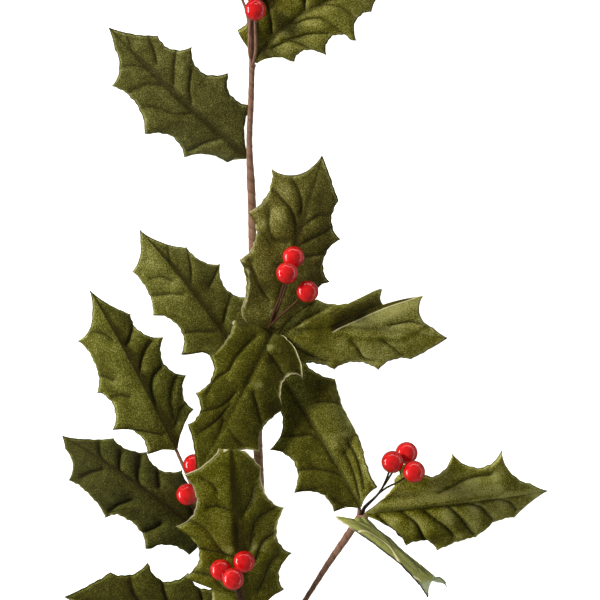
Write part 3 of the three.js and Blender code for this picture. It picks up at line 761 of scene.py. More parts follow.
                [(173.8, 418), (170, 400), (172, 384), (176.3, 375)],
                [(175, 424), (180, 409), (186, 402.5)],
            ],
        },
    },
    "leaf_left_out": {
        "warm": -1.4, "rich": 0.95, "rib": [[-44.5, -119.2, 10], [-83.5, -89, 36], [-118.7, -68, 0.4]],
        "left": {
            "fold": [0, -3, 2, -16, -16, -16, -10], "slide": [-2, -1.5, 4.3, 8, 5],
            "wide": [0.98, 1, 1.02, 0.96, 0.95], "deep": [0.1, 0.18, 0.27, 0.12, 0.3, 0.08], "puff": 1.6,
            "tone": -0.3,
            "creases": [
                [(103, 470), (93, 472), (82, 477)], [(132, 500), (120, 504), (111, 510)],
                [(161, 524), (150, 530), (140, 534)],
            ],
        },
        "right": {
            "fold": [-10, -20, -32, -37, -30, -20], "slide": [-2, -4.5, -2.9, -1.4],
            "wide": [0.98, 0.98, 0.96, 0.95], "deep": [0.1, 0.27, 0.33, 0.22, 0.1], "puff": 1.6,
            "tone": -0.38,
            "creases": [
                [(104, 470), (100.5, 455), (99, 443)], [(126, 486), (120, 470), (120.5, 453)],
                [(138, 496), (138, 480), (139, 457)], [(159, 487), (157, 475)],
            ],
            "flat": [[(12, 0), (18, 8), (24, 18)]],
        },
    },
    "leaf_low_front": {
        "rich": 1.12, "rib": [[-28.5, -162, 24], [-30, -122, 50], [-35.5, -57, 72], [-34.5, -80, 54]],
        "size": 1.08, "curlsUnder": True,
        "left": {
            "fold": [-10, -16, 5, 5, 3, 3, 3], "slide": [5.1, 1.2, 4.8, 2.9, 1],
            "wide": [1.02, 1.05, 1.13, 1.11, 1.5], "deep": [0.1, 0.27, 0.34, 0.3, 0.06, 0.03], "band": 2.5,
            "rim": 0.2, "ribLightShade": -0.4, "tone": 0.36,
            "creases": [
                [(218, 492), (211, 483), (200, 476.7)], [(233.3, 511.7), (219, 507.2), (207.8, 507)],
                [(226, 556), (216.7, 545), (211, 537), (202, 527), (191, 520.6)],
                [(238, 559), (230, 556), (216.7, 551.7), (202, 548)],
                [(234, 593), (224, 588), (213, 577), (194, 570.6)],
            ],
        },
        "right": {
            "fold": [-10, -12, -13, -19, -30, -20], "slide": [-3, -3.8, -2.6, 2.6],
            "wide": [1.06, 1.07, 1.07, 0.97], "deep": [0.1, 0.27, 0.27, 0.2, 0], "band": 3.0, "rim": 0.3,
            "ribLightShade": -0.4, "tone": 0.24,
            "creases": [
                [(244, 512), (249, 502.8), (252, 494), (253, 487)],
                [(250, 548), (254.4, 522.8), (263.3, 513.9), (274.4, 507.2)],
                [(255, 560), (262, 541.7), (272, 533.9)],
                [(258, 590), (264.4, 578), (270, 562.8), (277.8, 553.9)],
            ],
        },
    },
    "leaf_low_left": {
        "warm": -0.8, "rib": [[-25, -166, 8], [-70, -155, 18], [-117.5, -148.5, 4]], "size": 1.03,
        "left": {"fold": [2, 2, 2, 2, 2, 2, 2], "tone": -0.1},
        "right": {
            "fold": [-5, -5, 0, 4, 4, 0], "slide": [2, 1.2, -0.5, -0.4], "wide": [1, 0.9, 1.02, 1.01],
            "deep": [0.1, 0.3, 0.35, 0.2, 0.03], "tone": -0.2,
        },
    },
    "leaf_low_right": {
        "rib": [[-12.5, -187, 9], [17.5, -217, 20], [50, -247, 4]],
        "left": {"fold": [2, 2, 2, 0, 0, 0, 0], "tone": 0.1},
        "right": {"fold": [-4, -4, -4, -2, 0, 0], "tone": 0.0},
    },
}
# painted light and shade, with some unevenness of the pile: pixel x and y, radius in pixels, and how much
# lighter
lightShadePatches = {
    "leaf_upper_down": [
        (269.4, 348.3, 3, 1.2), (230, 379, 3, 0.5), (257, 385, 5, 0.7), (267, 407, 9, -0.5),
        (270.6, 359, 5, -0.4), (247, 381, 4, -0.3),
    ],
    "leaf_right_up": [
        (347.5, 421.7, 5, 0.6), (334.7, 441.7, 8, 0.5), (343.6, 435, 4, 0.5), (368, 468, 6, 0.4),
        (321, 386, 12, -0.5),
    ],
    "leaf_low_front": [
        (229, 549.4, 5, 0.8), (253.3, 547.2, 5, 0.8), (214, 562, 10, -0.4), (262, 556, 7, -0.3),
    ],
    "leaf_upper_up": [
        (280, 265, 9, -0.5), (263, 285, 9, -0.4), (273, 312, 5, 0.5), (284, 190, 8, 0.45),
        (278, 214, 9, 0.4), (262, 224, 8, 0.35), (254, 300, 8, -0.3), (290, 290, 10, -0.2),
        (318, 240, 14, -0.15),
    ],
    "leaf_upper_right": [
        (320, 324, 16, -0.7), (345, 318, 12, -0.6), (344, 341, 4, 0.5), (395, 330, 14, 0.3),
        (368, 356, 14, 0.2),
    ],
    "leaf_right_out": [
        (403, 463, 7, -1.0), (437, 494, 8, 0.7), (405, 499, 9, 0.6), (472, 484, 8, 0.6),
        (495, 474, 7, 0.5), (538, 494, 6, 0.6), (392, 523, 6, 0.55), (415, 522, 6, 0.6),
        (447, 515, 6, 0.65), (474, 507, 6, 0.65), (500, 500, 6, 0.6), (512, 477, 12, -0.45),
        (420, 477, 9, -0.35), (458, 464, 9, -0.3), (405, 537, 6, -0.35), (431, 534, 7, -0.45),
        (457, 526, 6, -0.35), (482, 518, 5, -0.3),
    ],
    "leaf_single": [
        (152, 262, 13, 0.4), (170, 286, 10, 0.2), (206, 336, 16, -0.2), (183, 254, 7, 0.3),
        (200, 285, 12, -0.2),
    ],
    "leaf_top_right": [(302, 4, 6, 0.5)],
}
# lines of painted light and shade along wrinkles, folds and the rib: pixel places along them, half width
# in pixels, how much lighter, how much cream line (pale cut cloth and a painted highlight) and how much pale
# back
lightShadeStrokes = {
    "leaf_upper_right": [
        ([(350, 338), (375, 338), (405, 338), (418, 331), (426, 326)], 2.5, -0.35, 0, 0),
        ([(350, 330), (378, 318), (415, 304)], 5, 0.3, 0, 0),
        ([(336, 316), (352, 312), (368, 308), (380, 300)], 6, -0.45, 0, 0),
    ],
    "leaf_right_down": [
        ([(419, 592), (427, 586), (437, 588), (447, 590)], 6, 0.2, 0, 1),
        ([(435, 577), (441, 579), (447, 585)], 3.5, 0.2, 0, 0.9),
        ([(361, 519), (367, 526), (376, 531)], 1.3, -0.9, 0, 0),
        ([(378, 529), (388, 540), (391, 550)], 1.2, -0.9, 0, 0),
        ([(392, 541), (401, 552), (403, 560)], 1.2, -0.8, 0, 0),
        ([(404, 551), (413, 562), (416, 572)], 1.2, -0.9, 0, 0),
        ([(414, 561), (423, 569), (430, 572)], 1.2, -0.8, 0, 0),
        ([(356, 522), (373, 527), (383, 536), (393, 547), (405, 557)], 1.0, -0.9, 0, 0),
        ([(352, 527), (370, 531), (380, 539), (391, 552), (404, 566), (414, 574)], 1.0, -0.6, 0, 0),
        ([(396, 545), (410, 560), (425, 573)], 1.0, -0.5, 0, 0),
        ([(354, 524), (372, 529), (384, 540), (396, 554), (408, 566)], 1.0, 0.9, 0, 0),
        ([(372, 524), (388, 534), (404, 550), (420, 566)], 1.4, 0.8, 0, 0),
    ],
    "leaf_right_out": [
        ([(372, 509), (400, 505), (430, 499), (462, 493), (495, 489)], 4, 1.2, 0, 0),
        ([(505, 495), (522, 493), (538, 492)], 3, 0.8, 0, 0),
    ],
    "leaf_upper_up": [
        (
            [
                (249, 213), (253, 222), (256, 236), (252, 247), (244, 258), (249, 272), (250, 290),
                (246, 305),
            ],
            0.8, 0.5, 0.3, 0,
        ),
        ([(272, 172), (271, 185), (268, 200), (262, 207), (252, 212)], 0.8, 0.3, 0.1, 0),
    ],
    "leaf_low_front": [([(224, 451.5), (233, 448.5), (246, 451)], 0.9, 0.4, 0.8, 0)],
    "leaf_upper_down": [([(232, 326), (237, 320.5), (247, 319.5), (263, 322)], 0.8, 0.3, 0.6, 0)],
}
# turned folds: pixel places along them, how light the lip is (a painted highlight in cream), and how dark
# and how wide (pixels) the painted shadow to the left of the way they run
folds = {
    "leaf_upper_right": [
        (
            [(331, 332.5), (344, 326), (357, 320), (372, 313), (388, 306.5), (405, 301), (424, 295)], 0.5,
            1.0, 8,
        ),
    ],
    "leaf_upper_up": [
        ([(299, 218), (301.5, 205), (299.5, 192), (292.5, 179)], 0.0, 0.4, 5),
        ([(286, 243), (295, 236), (296.5, 224), (292, 212), (284, 200), (275, 191)], 0.0, 0.35, 4),
    ],
    "leaf_right_down": [
        ([(420, 584), (407, 574), (397, 562), (385, 547), (371, 537), (351, 533)], 0.8, 0.3, 3),
    ],
}
# cut edges that catch the light, in cream: pale cut cloth and a painted highlight; half, from and to
# in spines from the root, and how bright
brightRims = {
    "leaf_upper_up": [("left", 0.2, 3.4, 0.5)],
    "leaf_upper_down": [("left", 0.3, 2.9, 1.0), ("right", 0.0, 1.8, 0.22), ("left", 3.3, 5.0, 0.4)],
    "leaf_right_up": [("left", 0.2, 2.2, 0.7)],
    "leaf_low_front": [("left", 3.2, 6.0, 0.75), ("right", 2.4, 5.0, 0.9), ("left", 0.3, 1.2, 0.9)],
    "leaf_left_out": [("left", 2.0, 5.0, 0.5)],
    "leaf_right_down": [("left", 0.0, 5.0, 0.5), ("right", 0.0, 2.0, 0.5)],
}


def edgeOf(side, half):
    # edge of one half: between two spines the chord dips by deep * (4 s (1 - s))^round of its own length
    slide = half.get("slide", [0] * 5)
    wide = half.get("wide", [1] * 5)
    spines = [(a + slide[i], w * wide[i]) for i, (a, w) in enumerate(die[side]["spines"])]
    root, tip = (0, half.get("root", blade["rootHalf"])), (blade["length"], blade["tipHalf"])
    corners = np.array([root, *spines, tip], float)
    rows = np.array([0, *half.get("veins", die[side]["veins"]), blade["rows"]], float)
    deep = np.array(half.get("deep", die[side]["deep"]), float)
    r = np.arange(blade["rows"] * blade["steps"] + 1) / blade["steps"]
    k = np.clip(np.searchsorted(rows, r, side="right") - 1, 0, len(rows) - 2)
    s = (r - rows[k]) / (rows[k + 1] - rows[k])
    p, q = corners[k], corners[k + 1]
    leaning = s ** np.array(half.get("skew", [1] * len(deep)), float)[k]
    lift = deep[k] * np.maximum(4 * leaning * (1 - leaning), 0) ** blade["round"]
    along = p[:, 0] + (q[:, 0] - p[:, 0]) * s + lift * (q[:, 1] - p[:, 1])
    out = p[:, 1] + (q[:, 1] - p[:, 1]) * s - lift * (q[:, 0] - p[:, 0])
    # two sines make the cut uneven, less so near the rib and at the spines; tone sets them apart per half
    uneven = np.sin(along * 0.83 + 40 * half["tone"]) + np.sin(along * 1.71 + 90 * half["tone"])
    out = out + blade["wave"] * uneven * np.clip(out / 8 - 0.3, 0, 1) * np.clip(6 * s * (1 - s), 0, 1)
    late = np.where(k == half.get("pleat", -1), s ** 6, s)
    return r, along, out, k + s, k + late


def ribFrames(leaf, share):
    # the rib's curve, its places mixed by binomial weights n over i * (1 - u)^(n - i) * u^i and read by arc
    # length, with its tangent, the way to the left and the front normal
    c = seen(leaf["rib"])
    n = len(c) - 1

    def at(u, c, n):
        u = u[..., None]
        return sum(math.comb(n, i) * (1 - u) ** (n - i) * u ** i * c[i] for i in range(n + 1))

    u = np.linspace(0, 1, 401)
    far = lengths(at(u, c, n))
    v = np.interp(share, far / far[-1], u)
    t = at(v, n * np.diff(c, axis=0), n - 1)
    t /= np.linalg.norm(t, axis=-1, keepdims=True)
    s = np.cross([0.0, 0.0, 1.0], c[1] - c[0] if leaf.get("curlsUnder") else t)
    s = s - (s * t).sum(-1, keepdims=True) * t
    s /= np.linalg.norm(s, axis=-1, keepdims=True)
    return at(v, c, n), t, s, np.cross(t, s)


lightWay = np.array(studio["keyFrom"]) / np.linalg.norm(studio["keyFrom"])
lightAcross = np.array([-0.9, 0.43, 0.0])
# places from the rib, 0, to the edge, 1, closer at both
shares = np.concatenate([[0, 0.018, 0.042, 0.075], np.linspace(0.11, 0.93, 27), [0.953, 0.975, 0.989, 1.0]])


def halfOf(leaf, side):
    # middle surface of one half: at w out from the rib it has turned by fold + curl * w, so it lies
    # (sin turn - sin fold) / curl aside and (cos fold - cos turn) / curl above the rib
    half = leaf[side]
    sign = 1 if side == "left" else -1
    size = leaf.get("size", 1)
    r, along, out, spine, at = edgeOf(side, half)
    hinge = blade["length"] * (r / blade["rows"]) ** blade["hinge"]
    fold = np.radians(np.interp(at, np.arange(len(half["fold"])), half["fold"]))[:, None]
    curls = half.get("curl", [blade["curl"]] * 2)
    curl = (np.radians(np.interp(at, np.arange(len(curls)), curls)) / blade["curlOver"])[:, None]
    curl = np.where(np.abs(curl) < 1e-4, 1e-4, curl)
    a = hinge[:, None] + shares * (along - hinge)[:, None]
    w = shares * out[:, None]
    if "pleat" in half:  # the row of the turned spine swells towards the root
        past = spine - half["pleat"] - 1
        swell = np.where(past < 0, np.clip(1 + 3 * past, 0, 1), np.exp(-((past / 0.35) ** 2)))
        swell = half["swell"] * swell[:, None] * 4 * shares * (1 - shares)
        a, w = a - 0.44 * swell, w + 0.9 * swell
    p, t, s, n = ribFrames(leaf, np.clip(a / blade["length"], 0, 1))
    turn = fold + curl * w * size
    place = p + t * (np.minimum(0, a) * size)[..., None]
    place = place + s * (sign * (np.sin(turn) - np.sin(fold)) / curl)[..., None]
    place = place + n * ((np.cos(fold) - np.cos(turn)) / curl)[..., None]
    edge = (1 - shares) * np.hypot(out, along - hinge)[:, None]
    return {
        "place": place,
        "up": n,
        "ahead": t,
        "aside": s * sign,
        "flat": np.stack([a, w], -1),
        "spine": np.repeat(spine[:, None], len(shares), 1),
        "edge": edge,
        "rowEdge": (spine, along, out),
    }


def creaseLines(half, side, sheet):
    # pressed veins of one half as places on the flat blade: given there, given in pixels (each place mixed
    # from the three nearest of the sheet, by 1 / gap^2), or else one to each spine of the die
    lines = [smoothLine(p, 40) for p in half.get("flat", [])]
    if "creases" in half:
        spots = pixels(sheet["place"]).reshape(-1, 2)
        flat = sheet["flat"].reshape(-1, 2)
        for crease in half["creases"]:
            gap = np.hypot(*(spots[:, None] - np.array(crease, float)).transpose(2, 0, 1))
            near = np.argsort(gap, axis=0)[:3]
            pull = 1 / (np.take_along_axis(gap, near, 0) + 0.2) ** 2
            lines.append(smoothLine((flat[near] * (pull / pull.sum(0))[..., None]).sum(0), 60))
    elif "flat" not in half:
        spine, along, out = sheet["rowEdge"]
        for k in range(1, len(die[side]["spines"])):
            a, w = np.interp(k + 0.55, spine, along), np.interp(k + 0.55, spine, out)
            a0 = a - 0.5 * w - 4
            lines.append(smoothLine([(a0, 0), (a0 + 0.42 * (a - a0) + 2, 0.4 * w), (a, w)], 60))
    return lines


def fadeBetween(value, low, high, soft):
    # one between low and high, falling to nought over soft at each
    return np.clip((value - low) / soft + 0.5, 0, 1) * np.clip((high - value) / soft + 0.5, 0, 1)


def normals(p):
    # across the rows crossed with along them, at length one
    n = np.cross(np.gradient(p, axis=1), np.gradient(p, axis=0))
    return n / np.maximum(np.linalg.norm(n, axis=-1, keepdims=True), 1e-9)


def leafPiece(name, leaf, number):
    # both halves with their relief and what their velvet shows, joined at the rib and given their thickness;
    # gap is the way to the nearest place of a vein, edge the way to the cut edge, both in mm
    sheets = {}
    for side in ("left", "right"):
        half = leaf[side]
        sheet = halfOf(leaf, side)
        flat = sheet["flat"]
        fromRib = flat[..., 1]
        toTip = np.clip((blade["length"] - flat[..., 0]) / 30, 0.3, 1)
        band = half.get("band", 1.0 if side == "left" else 1.7) * toTip
        pillow = 1 - 0.3 * np.exp(-fromRib / 0.9) - 0.5 * np.exp(-fromRib / blade["soft"])
        # painted shade along the rib, band mm wide on each side
        crease = half.get("ribShade", 0.95) * np.exp(-((fromRib / band) ** 4))
        step = np.zeros_like(fromRib)
        inked = np.zeros_like(fromRib)
        fine = np.full(fromRib.shape, 99.0)
        for line in creaseLines(half, side, sheet):
            away = flat[..., None, :] - line
            gap = np.hypot(away[..., 0], away[..., 1])
            near = gap.argmin(-1)
            place = near / (len(line) - 1)
            gap = gap.min(-1)
            away = np.take_along_axis(away, near[..., None, None], 2)[..., 0, :]
            # a vein is a step with a dark foot: the side towards the light swells and the other falls away,
            # by e^(-gap / 2.6), and the pillow is drawn down by e^(-gap / soft)
            sunny = (sheet["ahead"] * away[..., :1] + sheet["aside"] * away[..., 1:]) @ lightAcross
            sunny = sunny / np.hypot(gap, 0.6)
            strength = np.clip(1.3 - 0.45 * place, 0, 1) * half.get("press", 1)
            step = step + strength * sunny * np.exp(-gap / 2.6) * np.clip(6 * place, 0, 1)
            drawn = 0.3 * np.exp(-gap / 0.8) + 0.55 * np.exp(-np.hypot(gap, 0.3) / blade["soft"])
            pillow = pillow * (1 - strength * drawn)
            # painted shade in each vein's groove
            crease = np.maximum(crease, 0.6 * strength * np.exp(-((gap / 0.8) ** 2)))
            closer = gap < np.abs(fine)
            fine = np.where(closer, np.where(sunny > 0, gap, -gap), fine)
            # a painted dark line along the vein
            inked = np.maximum(inked, strength * np.exp(-((gap / 1.6) ** 4)))
        edge = sheet["edge"]
        # the relief sinks at the cut edge, at the rib, at the root and towards the tip, and waves a little
        rise = blade["puff"] * (pillow - blade["settle"]) + blade["step"] * np.clip(step, -1.2, 1.2)
        rim = np.full_like(edge, half.get("rim", 0.08 if side == "left" else 0.0))
        for where, low, high, bright in brightRims.get(name, []):
            if where == side:
                rim = np.maximum(rim, bright * fadeBetween(sheet["spine"], low, high, 0.25))
        rise = rise * half.get("puff", 1) * (1 - 0.7 * (1 - rim) * np.exp(-edge / 1.5))
        rise = rise + 0.3 * np.sin(flat[..., 0] * 0.21 + number) * np.sin(fromRib * 0.33 + 1.7 * number)
        rise = rise * np.clip(fromRib / 1.5 + 0.4, 0, 1) * np.clip(flat[..., 0] / 6, 0.2, 1) * toTip
        rise = rise + 0.4 * rim * np.exp(-edge / 1.0)
        pleat = half.get("pleat", 99)
        if "pleat" in half:  # no pillow at the turned row, so that its edge stays where the rows put it
            rise = rise * (1 - np.exp(-(((sheet["spine"] - half["pleat"] - 1) / 0.2) ** 2)))
        # tone, mostly painted light and shade: lighter and darker spots, a painted highlight inside the
        # edge, painted shadow beside folds, painted shade on the turned row's wall, painted light and shade
        # at the rib, and lines of painted light and shade
        spots = pixels(sheet["place"])
        tone = np.full(edge.shape, float(half["tone"]))
        for px, py, radius, amount in lightShadePatches.get(name, []):
            tone += amount * np.exp(-((spots[..., 0] - px) ** 2 + (spots[..., 1] - py) ** 2) / radius ** 2)
        # a painted highlight just inside the cut edge
        tone += 0.55 * np.exp(-(((edge - 1.1) / 0.6) ** 2))
        fold = np.full(edge.shape, 99.0)
        lip = np.zeros_like(edge)
        foldShadow = np.zeros_like(edge)
        for turned, light, dark, wide in folds.get(name, []):
            path = smoothLine(turned, 120)
            away = spots[..., None, :] - path
            near = np.hypot(away[..., 0], away[..., 1])
            at = near.argmin(-1)
            way = np.gradient(path, axis=0)
            way /= np.linalg.norm(way, axis=1, keepdims=True)
            away = np.take_along_axis(away, at[..., None, None], 2)[..., 0, :]
            across = way[at][..., 0] * away[..., 1] - way[at][..., 1] * away[..., 0]
            ends = fadeBetween(at, 3, 117, 6) * (near.min(-1) < wide + 4)
            closer = (near.min(-1) < np.abs(fold)) & (ends > 0)
            fold = np.where(closer, across, fold)
            lip = np.where(closer, light * ends, lip)
            foldShadow = np.where(closer, dark * ends, foldShadow)
            # painted shadow beside the fold
            tone -= foldShadow * closer * (across < 0) * np.exp(-((across / wide) ** 2))
        # painted shade on the turned row's wall, whose under faces are velvet too
        wall = (sheet["spine"] > pleat + 0.5) & (sheet["spine"] < pleat + 0.99)
        tone = np.where(wall, tone - 0.6, tone)
        lip = np.where(wall, 0, lip)
        # painted light beside the rib on a lit half, painted shade on a shaded one
        tone = tone + half.get("ribLightShade", 0) * np.exp(-((fromRib / (1.2 * band)) ** 4))
        cream = np.zeros_like(edge)
        bare = np.full_like(edge, leaf.get("bare", 0))
        for stroke, wide, lighter, cut, pale in lightShadeStrokes.get(name, []):
            path = smoothLine(stroke, 60)
            near = np.hypot(*(spots[..., None, :] - path).transpose(3, 0, 1, 2)).min(-1)
            mark = np.exp(-((near / wide) ** 4))
            tone = tone + lighter * mark
            cream = np.maximum(cream, cut * mark)
            bare = np.maximum(bare, pale * mark)
        tone = np.where(tone > 0.5, 0.5 + 0.5 * np.tanh((tone - 0.5) / 0.5), tone)
        # painted shade along the cut edge, less where the edge is cream
        edge_shade = np.exp(-((edge / 0.58) ** 4)) * (1 - rim)
        # cream along bright edges and lines: pale cut cloth and a painted highlight
        glow = np.maximum(rim * np.exp(-((edge / leaf.get("rimWidth", 0.4)) ** 2)), cream)
        signed = flat * (1, 1 if side == "left" else -1)
        sheets[side] = {
            "place": sheet["place"], "up": sheet["up"], "rise": rise, "wall": wall, "flat": signed,
            "crease": crease, "tone": tone, "edge_shade": edge_shade, "rim": glow, "bare": bare,
            "fold": fold, "lip": lip, "fine": fine, "inked": inked,
        }

    left, right = sheets["left"], sheets["right"]
    whole = {k: np.concatenate([left[k][:, :0:-1], right[k]], 1) for k in left}
    place, flat, rise = whole["place"], whole["flat"], whole["rise"]
    # near the rib both halves lean on the rib's own normal, so that no wall crosses the other
    lean = np.exp(-((flat[..., 1:] / 1.4) ** 2))
    smooth = normals(place)
    facing = smooth * (1 - lean) + whole["up"] * lean
    facing /= np.linalg.norm(facing, axis=-1, keepdims=True)
    place = place + facing * rise[..., None]
    # painted light and shade from the relief: lighter where it turns to the key light, darker where it turns
    # away
    whole["tone"] = whole["tone"] + blade["pile"] * ((normals(place) - smooth) @ lightWay) * (1 - lean[..., 0])
    front = place + facing * blade["thick"] / 2
    back = place - facing * blade["thick"] / 2
    rows, cols = rise.shape
    a = (np.arange(rows - 1)[:, None] * cols + np.arange(cols - 1)).ravel()
    behind = rows * cols
    top = np.stack([a, a + 1, a + 1 + cols, a + cols], -1)
    under = behind + np.stack([a, a + cols, a + 1 + cols, a + 1], -1)
    i, j = np.arange(rows - 1) * cols, np.arange(cols - 1)
    last = (rows - 1) * cols
    begin = np.concatenate([i + cols, i + cols - 1, j, last + j + 1])
    end = np.concatenate([i, i + 2 * cols - 1, j + 1, last + j])
    side = np.stack([begin, behind + begin, behind + end, end], -1)
    border = np.zeros((rows, cols), int)
    border[[0, -1], :] = 1
    border[:, [0, -1]] = 1
    whole["warm"] = np.full_like(rise, leaf.get("warm", 0.0))
    whole["rich"] = np.full_like(rise, leaf.get("rich", 1.0))
    marks = ("crease", "tone", "edge_shade", "rim", "bare", "fold", "lip", "fine", "inked", "warm", "rich")
    addPiece(
        name.replace("leaf", "velvet"), name,
        np.concatenate([front.reshape(-1, 3), back.reshape(-1, 3)]),
        np.concatenate([top, under, side]),
        [velvetLook, backLook, rimLook],
        np.concatenate([np.zeros(len(top)), np.where(whole["wall"].ravel()[a], 0, 1), np.full(len(side), 2)]),
        {mark: np.tile(whole[mark].ravel(), 2) for mark in marks},
        np.tile(flat.reshape(-1, 2), (2, 1)) / 100 + (0, 0.5),
        np.concatenate([border.ravel(), border.ravel() * 2]),
    )


for number, (name, leaf) in enumerate(leaves.items()):
    leafPiece(name, leaf, number)
print("leaves:", len(leaves))


# stems, petioles and wires: places along each stem, as seen in the measuring plane, each with its radius
stems = {
    "main_stem": [
        [-24, 166, 18, 1.0], [-23.9, 139, 19.5, 1.2], [-24, 121, 18.5, 1.5], [-24.5, 100, 18, 1.5],
        [-25.3, 80, 18, 1.45], [-25, 67.5, 18, 1.75], [-24.6, 60, 18.5, 2.1], [-24, 46.5, 19, 2.1],
        [-23.9, 36, 19.5, 2.05], [-23, 0, 19, 2.2], [-22, -36, 18, 2.3], [-20.9, -77.5, 17, 2.4],
        [-20.2, -95, 16, 2.5], [-18.5, -150, 12, 2.75], [-18.5, -177.5, 9, 2.75], [-20, -210, 4.5, 2.9],
        [-20.5, -225, 2.7, 3.0], [-21, -240, 2.7, 3.0],
    ],
    "twig_upper": [[-22, -36, 18, 1.9], [-18, -26, 22, 1.8], [-13.5, -15, 25, 1.5]],
    "twig_left": [[-18.8, -148, 12, 1.7], [-30, -135, 15, 1.7], [-42.5, -121, 15.5, 1.4]],
    "branch_right": [
        [-18, -180, 8.8, 1.4], [2.5, -150, 13, 1.2], [14, -132, 17, 1.6], [24, -117.5, 21, 2.0],
        [30, -108, 23.5, 1.7],
    ],
    "twig_low": [[-18.5, -177, 9, 1.8], [-20, -172, 16, 1.8], [-24, -167, 22, 1.5]],
}
# the stem each leaf's petiole grows from, where it leaves it, and how far it runs under the rib
petioles = {
    "leaf_top_left": ("main_stem", [-25, 66, 17.5], 0),
    "leaf_top_right": ("main_stem", [-24, 114, 17.5], 0),
    "leaf_crown": ("main_stem", [-24, 159, 18], 0),
    "leaf_crown_side": ("main_stem", [-24, 156, 18], 0),
    "leaf_single": ("main_stem", [-22, -40, 17.5], 0),
    "leaf_upper_up": ("twig_upper", [-14, -16, 25], 20),
    "leaf_upper_right": ("twig_upper", [-14, -16, 24.5], 8),
    "leaf_upper_down": ("twig_upper", [-14, -16, 25], 20),
    "leaf_right_up": ("branch_right", [29.5, -108.5, 23.5], 20),
    "leaf_right_out": ("branch_right", [29.5, -108.5, 23.5], 20),
    "leaf_right_down": ("branch_right", [29.5, -108.5, 24], 0),
    "leaf_left_up": ("twig_left", [-42, -121, 15.5], 20),
    "leaf_left_out": ("twig_left", [-42, -121, 15], 0),
    "leaf_low_front": ("twig_low", [-23.5, -167.5, 21.5], 20),
    "leaf_low_left": ("main_stem", [-18.7, -172, 9.5], 20),
    "leaf_low_right": ("main_stem", [-18.7, -186, 8], 20),
}
tapeWrap = {
    "step": 0.16,  # height of the tape's edge
    "pitch": 6.0,
    "around": 20,
    "ringEvery": {"main_stem": 0.8, "twig": 0.6},  # mm along a stem
    "fewest": 12,
}
petiole = {
    "below": 1.75,  # how far its axis runs under the rib
    "long": [1.2, 0.8, 0.72, 0.48],  # radii of one that runs under the rib
    "short": [1.2, 0.9],  # and of one that ends at the root
    "before": 1.2,  # how far before the root it ends
    "rings": {"long": 40, "short": 14},
    "around": 12,
    "step": 0.08,
    "pitch": 4.0,
}


def tube(places, radii, rings, around, relief=0.0, pitch=6.0):
    # round section carried along a smooth line, closed at both ends; its radius grows by relief over each
    # turn of the screw far / pitch + angle and then drops back
    line = smoothLine(places, rings)
    chord = lengths(np.array(places, float))
    share = np.linspace(0, 1, rings)
    r = np.interp(share * chord[-1], chord, radii)
    t = np.gradient(line, axis=0)
    t /= np.linalg.norm(t, axis=1, keepdims=True)
    up = np.array([0.0, 0.0, 1.0]) if abs(t[0][2]) < 0.9 else np.array([1.0, 0.0, 0.0])
    side = np.cross(up, t)
    side /= np.linalg.norm(side, axis=1, keepdims=True)
    over = np.cross(t, side)
    turn = np.arange(around) / around
    far = share * chord[-1]
    screw = (far[:, None] / pitch + turn) % 1.0
    r = r[:, None] + relief * (screw - 0.5) * np.clip(np.minimum(far, far[-1] - far) / 2, 0, 1)[:, None]
    aside = (r * np.cos(2 * math.pi * turn))[..., None]
    above = (r * np.sin(2 * math.pi * turn))[..., None]
    p = line[:, None] + side[:, None] * aside + over[:, None] * above
    i = np.arange(rings - 1)[:, None] * around
    j = np.arange(around)
    nextOne = (j + 1) % around
    faces = np.stack([i + j, i + nextOne, i + around + nextOne, i + around + j], -1).reshape(-1, 4).tolist()
    # side, over and the line make a right-handed turn, so these faces look outwards
    last = (rings - 1) * around
    faces.append(list(range(around))[::-1])
    faces.append([last + k for k in range(around)])
    uv = np.stack([np.repeat(far[:, None], around, 1), np.repeat(turn[None], rings, 0)], -1)
    return p.reshape(-1, 3), faces, uv.reshape(-1, 2)


def joinParts(parts):
    # tubes in one list of places, with the numbers in their faces moved on
    places, faces, uvs, offset = [], [], [], 0
    for p, f, uv in parts:
        places.append(p)
        faces += [[k + offset for k in face] for face in f]
        uvs.append(uv)
        offset += len(p)
    return np.concatenate(places), faces, np.concatenate(uvs)


tubes = {}
for name, path in stems.items():
    path = np.array(path, float)
    places, radii = path[:, :3], path[:, 3]
    every = tapeWrap["ringEvery"]["main_stem" if name == "main_stem" else "twig"]
    rings = max(int(lengths(places)[-1] / every), tapeWrap["fewest"])
    tubes[name] = [tube(seen(places), radii, rings, tapeWrap["around"], tapeWrap["step"], tapeWrap["pitch"])]
for name, (stem, start, long) in petioles.items():
    kind = "long" if long else "short"
    p, t, s, n = ribFrames(leaves[name], np.array([1, long * 0.5, long] if long else [0.0]) / blade["length"])
    places = p - n * petiole["below"] if long else p - t * petiole["before"]
    places = np.concatenate([[seen(start)], places])
    tubes[stem].append(tube(
        places, petiole[kind], petiole["rings"][kind], petiole["around"], petiole["step"], petiole["pitch"]
    ))
for name, joined in tubes.items():
    v, f, uv = joinParts(joined)
    v[:, 2] = np.maximum(v[:, 2], 0)  # flat underneath where it lies on the table
    addPiece(name + "_tape", name, v, f, [tapeLook], uv=uv)
print("stems:", len(stems))

